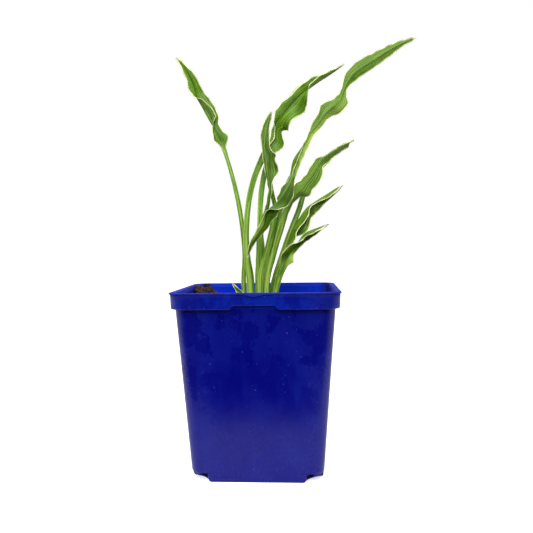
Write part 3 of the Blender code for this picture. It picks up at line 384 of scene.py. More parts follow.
def leaf_finish(look):
    """Leaf: ribbed blade with its own upper and under side, pale edge and juicy petiole."""
    made, tree = new_material("leaf", 0.42, 0.16)
    across, along, _ = split(put(tree, "UVMap", uv_map="leaf").outputs[0])
    upper, blade, edge, tone_and_shade, pale = (
        put(tree, "Attribute", attribute_name=name).outputs["Fac"] for name in LEAF_MASKS)
    off = math_node("ABSOLUTE", math_node("SUBTRACT", across, 0.5))
    groove = ramp(math_node("COSINE", times(off, 4 * math.pi * look.veins)), -0.2, 1.0)
    rib = ramp(off, 0.05, 0.015)
    furrow = ramp(off, 0.075, 0.015)
    patches = mottle(tree, 14 * MM, 0.35, 0.68)
    fine = mottle(tree, 2.2 * MM, 0.3, 0.75, 3)
    stretch = put(tree, "CombineXYZ", {0: times(across, 5), 1: times(along, 2), 2: times(tone_and_shade, 9)})
    broad, thin = (
        put(tree, "TexNoise", {"Vector": stretch.outputs[0], "Scale": scale, "Detail": detail}).outputs["Fac"]
        for scale, detail in ((1, 2), (3.5, 3)))

    # Blade, with painted shade in the grooves between its veins, a darker line of painted shade in the
    # midrib's groove above, and a pale rib below
    # Lighter in patches, in streaks and where the leaf's tone is higher, that tone partly painted light and
    # shade
    light = plus(times(patches, 0.35), tone_and_shade, ramp(thin, 0.38, 0.62, -0.25, 0.6), clamp=True)
    # The pale layer on both sides is a strip of painted light
    top = coats(look.upper_deep, (light, 1, look.upper_bright), (groove, 0.7, look.upper_deep),
                (furrow, 0.95, look.midrib_shade), (pale, 1, look.petiole_pale))
    low = coats(look.under_deep, (light, 1, look.under_bright), (groove, 0.85, look.under_deep),
                (rib, 0.6, look.under_bright), (pale, 1, look.petiole_pale))
    leafy = coats(low, (upper, 1, top), (fine, 0.12, look.upper_bright))

    # Petiole, darker in streaks and further up, with painted shade on the leaves at the back and on its right
    # half
    height = split(put(tree, "TexCoord").outputs["Object"])[2]
    dark = plus(times(ramp(broad, 0.48, 0.55), 0.7), ramp(thin, 0.46, 0.58, 0.0, 0.4),
                ramp(tone_and_shade, -0.32, -0.38, 0.0, 0.55), ramp(across, 0.55, 0.95, 0.0, 0.6),
                ramp(height, 0.17, 0.225, 0.0, 0.1), clamp=True)

    # Cream edge of uneven strength
    rim = times(ramp(edge, look.margin + 0.25, look.margin - 0.15), blade,
                ramp(mottle(tree, 11 * MM, 0.4, 0.62, 2), 0.0, 1.0, 0.5, 1.0))

    colour = coats(look.petiole_pale, (dark, 1, look.petiole_green), (blade, 1, leafy), (rim, 1, look.cream))
    ribs = times(math_node("MAXIMUM", groove, rib), blade)
    relief = math_node("SUBTRACT", times(fine, 0.25), ribs)
    rough = plus(times(fine, 0.12), ramp(upper, 0, 1, 0.5, 0.36))
    return wire(made, colour, relief, 0.03 * MM, rough=rough)


def pot_finish(look):
    """Blue moulded plastic with a dusty film, wiped clean in smudges, and small pits and specks."""
    made, tree = new_material("pot_plastic", 0.34, 0.21)
    haze = mottle(tree, 24 * MM, 0.38, 0.66, 8, 1.4)
    smudge = mottle(tree, 11 * MM, 0.5, 0.6, 7, 1.5)
    runs = mottle(tree, 4 * MM, 0.45, 0.75, 3, 14.0)
    specks = mottle(tree, 1.3 * MM, 0.76, 0.8, 1)
    pits = mottle(tree, 3.0 * MM, 0.62, 0.70, 3, 1.7)
    grain = mottle(tree, 2.4 * MM, 0.35, 0.65, 5, 1.2)
    spots = mottle(tree, 17 * MM, 0.50, 0.54, 9, 1.3)
    where = put(tree, "TexCoord").outputs
    x, y, height = split(where["Object"])
    corner = math_node("MINIMUM", math_node("ABSOLUTE", x), math_node("ABSOLUTE", y))
    band = ramp(height, *SKIRT_BAND)
    flat = put(tree, "VectorMath", {0: where["Object"], 1: (1, 1, 0)}, operation="MULTIPLY")
    facing = put(tree, "VectorMath", {0: flat.outputs[0], 1: where["Normal"]}, operation="DOT_PRODUCT")
    # Faces inside the rim, painted lighter there as painted light
    inside = ramp(facing.outputs["Value"], 0.0, -0.005)

    # Dust: a film with smudges wiped out of it, more of it towards the foot and on the scuffed corners, and
    # less of it on the right as painted shade
    film = times(haze, ramp(corner, *FILM_CORNER, 0.4, 1.0))
    wiped = math_node("SUBTRACT", 1.0, times(smudge, 0.8))
    splash_and_shade = times(ramp(height, *SPLASH), ramp(x, *SPLASH_SHADE_SIDE, 1.05, 0.52), clamp=True)
    dust_and_shade = plus(times(film, wiped, 0.5), times(splash_and_shade, 0.5), times(ramp(corner, *SCUFF_CORNER), 0.6))
    dust_and_shade = times(dust_and_shade, ramp(grain, 0, 1, 0.75, 1.1), clamp=True)

    # Colours over each other, the skirt's band the brightest
    bright = math_node("MAXIMUM", band, times(film, 0.45))
    wash = times(ramp(height, *WASH, 0, 0.55), ramp(band, 0, 1, 1, 0.1))
    stains = times(spots, ramp(height, *STAINS, 0.38, 0.85), ramp(band, 0, 1, 1, 0.45))
    # Painted shade on the inside of the right wall
    shade = times(ramp(x, *SHADE_SIDE), inside)
    grime = times(ramp(x, *GRIME_SIDE), ramp(height, *GRIME_FOOT), ramp(y, *GRIME_BACK),
                  mottle(tree, 5 * MM, 0.46, 0.54, 4))
    colour = coats(look.blue_deep, (bright, 1, look.blue_bright), (smudge, 0.5, look.blue_deep),
                   (dust_and_shade, 0.8, look.blue_dull), (wash, 1, look.blue_film), (stains, 1, look.blue_deep),
                   (runs, 0.12, look.blue_bright), (specks, 0.5, look.speck), (pits, 0.6, look.blue_deep),
                   (inside, 1, look.blue_inside_lit), (shade, 0.85, look.blue_deep), (grime, 1, look.grime))
    relief = plus(mottle(tree, 3 * MM, 0.3, 0.7, 6), times(smudge, -0.5), times(pits, -1.5))
    rough = plus(ramp(height, *DULL_LIP, 0.2, 0.75), times(dust_and_shade, 0.14))
    return wire(made, colour, relief, 0.05 * MM, 0.5, rough)


def soil_finish(look):
    """Moist brown potting mix."""
    made, tree = new_material("potting_mix", 0.9, 0.25)
    colour = coats(look.soil_dark, (mottle(tree, 2.2 * MM, 0.35, 0.65, 6), 1, look.soil_brown),
                   (mottle(tree, 0.9 * MM, 0.6, 0.72, 3), 0.5, look.bark))
    return wire(made, colour, mottle(tree, 0.8 * MM, 0.2, 0.8, 8), 0.5 * MM)


def crown_finish(look):
    """Fleshy cream and brown crown and roots."""
    made, tree = new_material("crown_flesh", 0.6, 0.3)
    colour = coats(look.crown, (mottle(tree, 4 * MM, 0.35, 0.65, 5, 2.0), 1, look.bark))
    return wire(made, colour, mottle(tree, 1 * MM, 0.2, 0.8, 6), 0.3 * MM)


# Meshes


def add_object(name, data):
    """An object in the scene for a mesh, a lamp or a camera."""
    made = bpy.data.objects.new(name, data)
    bpy.context.scene.collection.objects.link(made)
    return made


def mesh_object(name, bm):
    """Turn a bmesh into an object in the scene."""
    mesh = bpy.data.meshes.new(name)
    bm.to_mesh(mesh)
    bm.free()
    return add_object(name, mesh)


def finish_piece(name, bm, finish, slot, *nodes, sharp=None):
    """Turn a bmesh into a piece that rides on the body and stands for CAD nodes."""
    made = mesh_object(name, bm)
    made.data.materials.append(finish)
    made.data.shade_smooth()
    if sharp:
        made.data.set_sharp_from_angle(angle=math.radians(sharp))
    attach(made, "root")
    if nodes:
        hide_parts(*nodes)
    return made


def dress_node(node, finish):
    """Give a CAD node another material."""
    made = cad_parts[node]
    for place in made.material_slots:
        place.material = finish


def wall_half(z):
    """Half width of the pot's outer wall at a height."""
    return WALL_HALF_FOOT + (WALL_HALF_TOP - WALL_HALF_FOOT) * z / POT_HEIGHT


def square_ring(half, corner, height, chamfer=None):
    """A ring round the pot with rounded corners, or hollowed ones where chamfer gives the side's half."""
    place = half if callable(half) else lambda s: half
    level = height if callable(height) else lambda s: height
    end = place(math.inf)
    z = level(math.inf)
    points = []
    for side in range(4):
        turn = Matrix.Rotation(side * math.pi / 2, 4, "Z")
        local = [Vector((s, -place(s), level(s))) for s in SIDE_MARKS]
        for k in range(CORNER_STEPS + 1):
            share = k / CORNER_STEPS
            if chamfer:
                hollow = FOOT_HOLLOW * 4 * share * (1 - share) / math.sqrt(2)
                straight = Vector((chamfer, -end, z)).lerp(Vector((end, -chamfer, z)), share)
                local.append(straight + Vector((-hollow, hollow, 0)))
            else:
                angle = share * math.pi / 2
                local.append(Vector((end - corner + corner * math.sin(angle),
                                     -end + corner - corner * math.cos(angle), z)))
        points.extend(turn @ point for point in local)
    return points


def notch_lift(s):
    """How far the skirt's lower edge is raised near the middle of a side."""
    return NOTCH_HEIGHT * float(remap(abs(s), NOTCH_HALF + NOTCH_RUN, NOTCH_HALF)) if abs(s) < 1 else 0.0


def panel_inset(s):
    """How far the skirt is set back in the shallow panel in the middle of a side."""
    return PANEL_DEPTH * float(remap(abs(s), PANEL_HALF + PANEL_RUN, PANEL_HALF)) if abs(s) < 1 else 0.0


def lip_dip(s):
    """How far the underside of the lip dips in the middle of a side."""
    return DIP_DEPTH * math.cos(min(1, abs(s) / DIP_HALF) * math.pi / 2) ** 2


def dished_wall(z):
    """Half width along a side at a height, slightly less in the middle except near the rim and the foot."""
    fade = float(remap(z, 8 * MM, 25 * MM) * remap(z, POT_HEIGHT - 14 * MM, POT_HEIGHT - 35 * MM))

    def half(s):
        dish = DISH * (1 - min(1, abs(s) / DISH_HALF) ** 2) if abs(s) < 1 else 0
        return wall_half(z) - fade * dish

    return half


def pot_rings():
    """Rings of the pot from the underside up the outside, over the lip and down the inside."""
    skirt_foot = POT_HEIGHT - SKIRT_DEPTH
    lip_under = POT_HEIGHT - LIP_THICK
    rings = []

    def ring(*shape):
        rings.append(square_ring(*shape))

    def skirt(half, z, lift=0.0, corner=LIP_CORNER):
        ring(lambda s: half - panel_inset(s), corner,
             lambda s: z + lift * notch_lift(s) - (0 if lift else lip_dip(s)))

    def lip(half, z, corner=LIP_CORNER, dip=0.0):
        ring(half, corner, lambda s: z - dip * lip_dip(s))

    for k in range(5):
        angle = k * math.pi / 8
        inset = FOOT_ROUNDING * (1 - math.sin(angle))
        ring(WALL_HALF_FOOT - inset / 3, 0, FOOT_ROUNDING * (1 - math.cos(angle)), FOOT_HALF_LENGTH - inset)
    for inset, drop in ((0.1, 1.1), (0.05, 0.6)):
        ring(wall_half(CORNER_LIFT) - inset * MM, 0, CORNER_LIFT - drop * MM, FOOT_HALF_LENGTH)
    for inset, rise in ((0.9, -0.3), (0.35, -0.1), (0.08, 0.4), (0, 1.0)):
        z = CORNER_LIFT + rise * MM
        ring(lambda s: wall_half(z) - (inset * MM if abs(s) > 1 else 0), WALL_CORNER, z)
    for k in range(1, 14):
        z = CORNER_LIFT + 1 * MM + (skirt_foot - 1 * MM - CORNER_LIFT) * k / 13
        ring(dished_wall(z), WALL_CORNER, z)
    lip(wall_half(lip_under), lip_under, WALL_CORNER + 1 * MM, 1.0)
    skirt(SKIRT_HALF - WALL, lip_under, 0.0, LIP_CORNER - WALL)
    skirt(SKIRT_HALF - WALL - SKIRT_DRAFT, skirt_foot + 0.2 * MM, 1.0, LIP_CORNER - WALL)
    skirt(SKIRT_HALF - WALL * 0.75 - SKIRT_DRAFT, skirt_foot, 1.0, LIP_CORNER - WALL)
    skirt(SKIRT_HALF - WALL * 0.25 - SKIRT_DRAFT, skirt_foot, 1.0)
    skirt(SKIRT_HALF - SKIRT_DRAFT, skirt_foot + 0.35 * MM, 1.0)
    skirt(SKIRT_HALF - SKIRT_DRAFT * 0.9, skirt_foot + 1.5 * MM, 1.0)
    skirt(SKIRT_HALF, lip_under - 1.2 * MM)
    skirt(SKIRT_HALF, lip_under - 0.3 * MM)
    for inset, rise in ((0.35, 0.0), (0.1, 0.12), (0, 0.4), (0.05, 0.7), (0.3, 1.0), (0.7, 1.1)):
        lip(LIP_HALF - inset * MM, lip_under + rise * MM, dip=1 - rise * MM / LIP_THICK)
    for inset, rise in ((0.5, 0.0), (0.15, -0.1), (0, -0.4), (0, -2.5)):
        lip(wall_half(POT_HEIGHT) - WALL + inset * MM, POT_HEIGHT + rise * MM, LIP_CORNER - WALL)
    for z in (skirt_foot, 100 * MM, 70 * MM, 40 * MM, CORNER_LIFT + WALL):
        ring(wall_half(z) - WALL, WALL_CORNER - WALL, z)
    inner = WALL_HALF_FOOT - WALL
    length = FOOT_HALF_LENGTH + WALL_HALF_FOOT - WALL * math.sqrt(2) - inner
    ring(inner, 0, CORNER_LIFT + WALL - 0.6 * MM, length)
    ring(inner, 0, FLOOR, length)
    return rings


def extrude_rings(bm, rings):
    """Draw a circle of points out through the rings, one extrusion for each, and cap both ends."""
    circle = bmesh.ops.create_circle(bm, segments=len(rings[0]), radius=1)["verts"]
    start = circle[0]
    chain = [start, start.link_edges[0].other_vert(start)]
    while len(chain) < len(circle):
        ahead = [e.other_vert(chain[-1]) for e in chain[-1].link_edges]
        chain.append(ahead[0] if ahead[0] is not chain[-2] else ahead[1])
    first = list(bm.edges)
    edges = first
    for number, ring in enumerate(rings):
        if number:
            grown = bmesh.ops.extrude_edge_only(bm, edges=edges)["geom"]
            fresh = {item for item in grown if isinstance(item, bmesh.types.BMVert)}
            edges = [item for item in grown if isinstance(item, bmesh.types.BMEdge)
                     and item.verts[0] in fresh and item.verts[1] in fresh]
            chain = [next(e.other_vert(vert) for e in vert.link_edges if e.other_vert(vert) in fresh)
                     for vert in chain]
        for vert, point in zip(chain, ring):
            vert.co = point
    bmesh.ops.holes_fill(bm, edges=first, sides=0)
    bmesh.ops.holes_fill(bm, edges=edges, sides=0)
    bmesh.ops.recalc_face_normals(bm, faces=bm.faces)


def corner_block(bm, corner, reach, low, size, rounding=0.0):
    """A block across one of the pot's corners, reach from the middle along the diagonal."""
    cube = bmesh.ops.create_cube(bm, size=1)["verts"]
    turn = Matrix.Rotation(math.pi / 4 + corner * math.pi / 2, 4, "Z")
    place = turn @ Matrix.Translation((reach, 0, low + size[2] / 2)) @ Matrix.Diagonal((*size, 1))
    bmesh.ops.transform(bm, matrix=place, verts=cube)
    if rounding:
        edges = {edge for vert in cube for edge in vert.link_edges}
        bmesh.ops.bevel(bm, geom=list(edges), offset=rounding, affect="EDGES", segments=3, profile=0.5,
                        material=-1)


def cut_pot_slots(bm):
    """Cut the drain slots through the foot's corners."""
    knife = bmesh.new()
    reach = (FOOT_HALF_LENGTH + WALL_HALF_FOOT) / math.sqrt(2) - FOOT_HOLLOW
    for corner in range(4):
        corner_block(knife, corner, reach, SLOT_SILL, SLOT_SIZE, SLOT_ROUNDING)
    body = mesh_object("pot_uncut", bm)
    cutter = mesh_object("slot_knife", knife)
    cut = body.modifiers.new("slots", "BOOLEAN")
    cut.operation = "DIFFERENCE"
    cut.solver = "EXACT"
    cut.object = cutter
    bpy.context.view_layer.update()
    shape = body.evaluated_get(bpy.context.evaluated_depsgraph_get())
    result = bmesh.new()
    result.from_mesh(shape.data)
    for item in (body, cutter):
        bpy.data.objects.remove(item)
    return result


def through(knots, values, at, limited=False):
    """Smooth curve through values at knots, read at places; a limited one doesn't overshoot."""
    step = np.diff(knots)[:, None]
    secant = np.diff(values, axis=0) / step
    before, after = secant[:-1], secant[1:]
    if limited:
        same = before * after > 0
        inner = np.where(same, 2 * before * after / np.where(same, before + after, 1), 0)
    else:
        inner = (step[1:] * before + step[:-1] * after) / (step[1:] + step[:-1])
    slope = np.vstack((secant[:1], inner, secant[-1:]))
    i = np.clip(np.searchsorted(knots, at, side="right") - 1, 0, len(knots) - 2)
    s = ((at - knots[i]) / (knots[i + 1] - knots[i]))[:, None]
    return ((1 + 2 * s) * (1 - s) ** 2 * values[i] + s * (1 - s) ** 2 * step[i] * slope[i]
            + s * s * (3 - 2 * s) * values[i + 1] + s * s * (s - 1) * step[i] * slope[i + 1])


def unit(vectors):
    """Vectors of length 1."""
    return vectors / np.linalg.norm(vectors, axis=-1, keepdims=True)


def whole_station(station, facing):
    """A station with what it leaves out: the petiole's turn, then a second half that is like the first."""
    first = (*station, PETIOLE_TURN * facing)[:5]
    return (*first, *(station[5:] or first[3:]))


def leaf_sheets(spec, look, phase):
    """Front and back faces of a leaf, rows along it and columns across, with what its colour needs."""
    facing = -1 if spec.get("under_front") else 1
    drawn = np.array([whole_station(station, facing) for station in spec["stations"]], dtype=float)
    depth = drawn[:, 2:3] * MM
    scale = (depth - EYE[1]) / -EYE[1]
    flat = np.column_stack((drawn[:, 0], np.zeros(len(drawn)), drawn[:, 1])) * MM
    midrib = EYE + (flat - EYE) * scale
    knots = np.concatenate(([0], np.cumsum(np.linalg.norm(np.diff(midrib, axis=0), axis=1))))
    length = knots[-1]
    at = np.linspace(0, length, max(LEAST_ROWS, int(length / look.row_spacing)))

    middle = through(knots, midrib, at)
    along = unit(through(knots, midrib, np.minimum(at + TANGENT_STEP, length))
                 - through(knots, midrib, np.maximum(at - TANGENT_STEP, 0)))
    side = spec.get("side")
    across = np.cross(along, unit(EYE - middle)) if side is None else np.broadcast_to(side, along.shape)
    across = unit(across - (across * along).sum(axis=1, keepdims=True) * along)
    front = np.cross(across, along)

    shape = through(knots, np.hstack((drawn[:, 3:], scale)), at, limited=True)
    bladed = remap(at - knots[spec["blade"]], -BLADE_BLEND, BLADE_BLEND)[:, None]
    bow = (PETIOLE_BOW * (1 - bladed) + BLADE_BOW * bladed) * facing
    halves = []
    for sign, width, turn in ((-1, shape[:, 0:1], shape[:, 1:2]), (1, shape[:, 2:3], shape[:, 3:4])):
        turn = np.radians(turn)
        halves.append((width * MM * shape[:, 4:5],
                       sign * np.cos(turn) * across + np.sin(turn) * front,
                       sign * np.sin(turn) * across - np.cos(turn) * front))

    # Columns stand closer together near the midrib
    columns = np.linspace(-1, 1, look.columns)
    columns = columns * (0.55 + 0.45 * np.abs(columns))
    tip = np.minimum(1, (length - at) / TIP_TAPER + TIP_LEAST)[:, None]
    faces = ([], [])
    margins = []
    for u in columns:
        s = abs(u)
        root = math.hypot(u, FOLD_ROUNDING)
        place, run = middle.copy(), np.zeros_like(middle)
        for sign, (width, outward, bulge) in zip((-1, 1), halves):
            reach = (root + sign * u - FOLD_ROUNDING) / 2
            place += width * reach * outward
            run += sign * width * (1 + sign * u / root) / 2 * outward
            if sign * u > 0:
                place += width * bow * 4 * s * (1 - s) * bulge
                run += sign * width * bow * 4 * (1 - 2 * s) * bulge
                margins.append(width[:, 0] * (1 - s))
        if u == 0:
            margins.append((halves[0][0] + halves[1][0])[:, 0] / 2)
        normal = unit(np.cross(run, along))
        ruffle = np.sin(at[:, None] / look.ruffle_length * 2 * math.pi + phase + 2 * u)
        place += normal * bladed * tip * look.ruffle * s ** 3 * ruffle
        petiole, blade = (thick - less * s for thick, less in (PETIOLE_THICK, BLADE_THICK))
        thick = ((1 - bladed) * petiole + bladed * blade) * MM * tip
        faces[0].append(place + normal * thick / 2)
        faces[1].append(place - normal * thick / 2)
    front_face, back_face = (np.stack(face, axis=1) for face in faces)
    for face in (front_face, back_face):
        face[0, :, 2] = PETIOLE_FOOT
    margins = np.stack(margins, axis=1)
    return front_face, back_face, np.broadcast_arrays(columns, (at / length)[:, None], bladed, margins)


def make_leaf(name, spec, look, finish, number):
    """One leaf: two shaped grids bridged round their edge."""
    draw = random.Random(number)
    front, back, (u, v, bladed, margin) = leaf_sheets(spec, look, draw.uniform(0, 6))
    rows, columns = front.shape[:2]
    bm = bmesh.new()
    for sheet in (front, back):
        grid = bmesh.ops.create_grid(bm, x_segments=columns - 1, y_segments=rows - 1, size=1)["verts"]
        for vert, point in zip(grid, sheet.reshape(-1, 3)):
            vert.co = point
    bmesh.ops.bridge_loops(bm, edges=[edge for edge in bm.edges if edge.is_boundary])
    bmesh.ops.recalc_face_normals(bm, faces=bm.faces)
    made = finish_piece(f"{name}_fine", bm, finish, "leaf", name, sharp=60)

    mesh = made.data
    under_front = spec.get("under_front", False)
    upper = np.repeat((not under_front, under_front), rows * columns)
    edge = margin / (1 + 0.9 * v ** 4) / MM / spec.get("edge", 1)
    # The leaf's tone: at random, lighter towards the tip, and with its painted light and shade from the table
    tone_and_shade = draw.uniform(-0.15, 0.2) + 0.25 * v + spec.get("tone_and_shade", 0)
    # A strip of painted light on the blade's right half, in the petiole's pale colour
    pale = np.interp(v, spec.get("pale", NEVER_PALE), (0, 1, 1, 0)) * remap(u, 0.05, 0.4) * 0.75
    masks = (upper, *(np.tile(mask.ravel(), 2) for mask in (bladed, edge, tone_and_shade, pale)))
    for key, mask in zip(LEAF_MASKS, masks):
        mesh.attributes.new(key, "FLOAT", "POINT").data.foreach_set("value", mask.astype(np.float32))
    corners = np.empty(len(mesh.loops), dtype=np.int32)
    mesh.loops.foreach_get("vertex_index", corners)
    flat_uv = np.tile(np.column_stack(((u.ravel() + 1) / 2, v.ravel())), (2, 1))[corners]
    mesh.uv_layers.new(name="leaf").data.foreach_set("uv", flat_uv.astype(np.float32).ravel())


def add_crumb(bm, place, radius, draw, subdivisions=1):
    """One rough crumb, squashed and turned at random."""
    squash = Matrix.Diagonal((draw.uniform(0.8, 1.2), draw.uniform(0.7, 1.0), draw.uniform(0.6, 0.95), 1))
    turn = Matrix.Rotation(draw.uniform(0, 6.3), 4, Vector((draw.uniform(-1, 1), draw.uniform(-1, 1), 0.5)))
    verts = bmesh.ops.create_icosphere(bm, subdivisions=subdivisions, radius=radius,
                                       matrix=Matrix.Translation(place) @ turn @ squash)["verts"]
    for vert in verts:
        swell = noise.noise(vert.co / radius * 0.9) + 0.6 * noise.noise(vert.co / radius * 2.3)
        vert.co += (vert.co - place) * 0.45 * swell


def soil_height(x, y):
    """Height of the soil's crumbly surface."""
    z = SOIL_LEVEL + SOIL_WAVE * math.sin(x * 150 + 1) * math.cos(y * 120)
    z += sum(height * noise.noise(Vector((x, y, 0)) * pitch) for height, pitch in SOIL_LUMPS)
    for hx, hy, hz, radius in HEAP:
        near = math.hypot(x - hx * MM, y - hy * MM) / (radius * MM)
        if near < 1.6:
            z = max(z, hz * MM - 1.5 * MM + radius * MM * (1 - near ** 2) * 0.7)
    return z


# Settings


def setting(name, description, value, kind=FloatProperty, **rest):
    """A value that the user can change."""
    return kind(name=name, description=description, default=value, **rest)


Colour = partial(setting, kind=FloatVectorProperty, subtype="COLOR", size=3, min=0, max=1)
Length = partial(setting, subtype="DISTANCE", unit="LENGTH")
Angle = partial(setting, subtype="ANGLE")
Count = partial(setting, kind=IntProperty)


class HostaPotSettings(bpy.types.PropertyGroup):
    """Colours of the pot."""

    blue_bright: Colour("Bright Blue", "Clean plastic", (0.002, 0.016, 0.33))
    blue_deep: Colour("Deep Blue", "Dark patches", (0.0005, 0.001, 0.165))
    blue_dull: Colour("Dull Blue", "Dusty plastic near the foot", (0.009, 0.01, 0.18))
    blue_film: Colour("Film", "Thin film on the upper wall", (0.004, 0.009, 0.225))
    # Painted light: the inside of the rim is drawn lighter than the same plastic outside
    blue_inside_lit: Colour("Inner Blue", "Clean plastic inside the rim", (0.002, 0.027, 0.6))
    grime: Colour("Grime", "Soil smeared on the lip", (0.012, 0.008, 0.016))
    speck: Colour("Speck", "Pale specks", (0.18, 0.2, 0.5))


class HostaSoilSettings(bpy.types.PropertyGroup):
    """Crumbs and colours of the soil and the crown."""

    crumbs: Count("Crumbs", "Loose crumbs on the soil", 520, min=0)
    heap_crumbs: Count("Heap Crumbs", "Crumbs on the heap", 150, min=0)
    crumb_size: Length("Crumb Size", "Radius of the largest crumbs", 2.2 * MM)
    soil_dark: Colour("Dark Soil", "Moist soil", (0.012, 0.006, 0.004))
    soil_brown: Colour("Brown Soil", "Drier soil", (0.085, 0.042, 0.024))
    bark: Colour("Bark", "Bark and fibres", (0.16, 0.085, 0.045))
    crown: Colour("Crown", "Flesh of the crown and roots", (0.5, 0.42, 0.26))


class HostaLeafSettings(bpy.types.PropertyGroup):
    """Detail and colours of the leaves."""

    row_spacing: Length("Row Spacing", "Distance between rows of the mesh", 0.9 * MM)
    columns: Count("Columns", "Points across a leaf, an odd number", 29, min=5)
    veins: Count("Veins", "Veins in each half of a blade", 5, min=1)
    ruffle: Length("Ruffle", "Height of the small waves along the edge", 0.35 * MM)
    ruffle_length: Length("Ruffle Length", "Length of a small wave", 9 * MM)
    margin: setting("Margin", "Width of the cream edge in millimetres", 0.42)
    upper_deep: Colour("Upper Deep", "Dark green of the upper side", (0.045, 0.125, 0.002))
    upper_bright: Colour("Upper Bright", "Light green of the upper side", (0.15, 0.3, 0.01))
    # Painted shade in the midrib's groove
    midrib_shade: Colour("Midrib", "Dark line along the midrib's groove", (0.018, 0.065, 0.001))
    under_deep: Colour("Under Deep", "Dark green of the underside", (0.04, 0.105, 0.007))
    under_bright: Colour("Under Bright", "Light green of the underside", (0.2, 0.36, 0.05))
    petiole_pale: Colour("Pale Petiole", "Petiole near the soil", (0.39, 0.59, 0.1))
    petiole_green: Colour("Green Petiole", "Petiole further up", (0.09, 0.225, 0.01))
    cream: Colour("Cream", "Edge of the blade", (0.93, 0.96, 0.52))


class HostaStageSettings(bpy.types.PropertyGroup):
    """Camera and light."""

    focal: setting("Focal Length", "Lens in millimetres", FOCAL_PIXELS / PICTURE_PIXELS * SENSOR_WIDTH)
    distance: Length("Distance", "Camera from the pot's middle", 0.4475)
    height: Length("Height", "Camera above the floor", 0.1593)
    azimuth: Angle("Azimuth", "Camera to the right of the front", 0.072)
    pan: Angle("Pan", "Turn of the camera to the right", -0.012)
    pitch: Angle("Pitch", "Tilt of the camera downwards", 0.031)
    roll: Angle("Roll", "Roll of the camera", -0.012)
    overhead: setting("Overhead Light", "Power of the soft light above", 20.0)
    key: setting("Side Light", "Power of the soft light at the left", 3.0)
    sky: setting("Surround", "Strength of the white surround", 0.85)
    room: setting("Room", "Strength of the dim room in front", 0.06)
    floor_front: Length("Floor Front", "How far the pale floor reaches to the front", 0.14)
    floor_glow: setting("Floor Glow", "Light that keeps the floor white", 0.65)


# Operators


class HOSTA_OT_pot(bpy.types.Operator):
    """Build the square nursery pot"""

    bl_idname = "hosta.pot"
    bl_label = "Pot"

    def execute(self, context):
        bm = bmesh.new()
        extrude_rings(bm, pot_rings())
        bm = cut_pot_slots(bm)
        for corner in range(4):
            corner_block(bm, corner, NUB_REACH, NUB_FOOT, NUB_SIZE, NUB_ROUNDING)
        finish_piece("pot_fine", bm, pot_finish(context.scene.hosta_pot), "pot_plastic", "pot", sharp=35)
        return {"FINISHED"}


class HOSTA_OT_soil(bpy.types.Operator):
    """Cover the soil with a crumbly surface, and dress the crown"""

    bl_idname = "hosta.soil"
    bl_label = "Soil"

    def execute(self, context):
        look = context.scene.hosta_soil
        finish = soil_finish(look)
        dress_node("potting_soil", finish)
        dress_node("crown_and_roots", crown_finish(look))

        reach = wall_half(SOIL_LEVEL) - WALL - 0.4 * MM
        bm = bmesh.new()
        bmesh.ops.create_grid(bm, x_segments=SOIL_CELLS, y_segments=SOIL_CELLS, size=reach)
        corner = WALL_CORNER - WALL
        for vert in bm.verts:
            x, y = vert.co.x, vert.co.y
            over = Vector((max(0, abs(x) - reach + corner), max(0, abs(y) - reach + corner)))
            if over.length > corner:
                over *= 1 - corner / over.length
                x -= math.copysign(over.x, x)
                y -= math.copysign(over.y, y)
            vert.co = (x, y, soil_height(x, y))
        rim = [edge for edge in bm.edges if edge.is_boundary]
        for item in bmesh.ops.extrude_edge_only(bm, edges=rim)["geom"]:
            if isinstance(item, bmesh.types.BMVert):
                item.co = (item.co.x * 0.99, item.co.y * 0.99, SOIL_LEVEL - 5 * MM)
        bmesh.ops.recalc_face_normals(bm, faces=bm.faces)
        finish_piece("soil_top", bm, finish, "soil")

        draw = random.Random(11)
        bm = bmesh.new()
        for _ in range(look.crumbs):
            x, y = draw.uniform(-0.95, 0.95) * reach, draw.uniform(-0.95, 0.95) * reach
            radius = look.crumb_size * draw.uniform(0.25, 1) ** 2
            add_crumb(bm, Vector((x, y, soil_height(x, y) + 0.25 * radius)), radius, draw)
        for _ in range(look.heap_crumbs):
            hx, hy, hz, size = draw.choice(HEAP)
            bearing, spread = draw.uniform(0, 6.3), draw.uniform(0, 1) ** 0.5 * size * MM
            x = max(hx * MM + spread * math.cos(bearing), HEAP_SIDE)
            y = hy * MM + spread * math.sin(bearing)
            radius = look.crumb_size * draw.uniform(0.3, 1)
            add_crumb(bm, Vector((x, y, soil_height(x, y) + 0.3 * radius)), radius, draw, 2)
        finish_piece("soil_crumbs", bm, finish, "soil")
        return {"FINISHED"}


class HOSTA_OT_leaves(bpy.types.Operator):
    """Build every leaf, petiole and blade in one"""

    bl_idname = "hosta.leaves"
    bl_label = "Leaves"

    def execute(self, context):
        look = context.scene.hosta_leaf
        finish = leaf_finish(look)
        for number, (name, spec) in enumerate(LEAVES.items()):
            make_leaf(name, spec, look, finish, number)
        return {"FINISHED"}


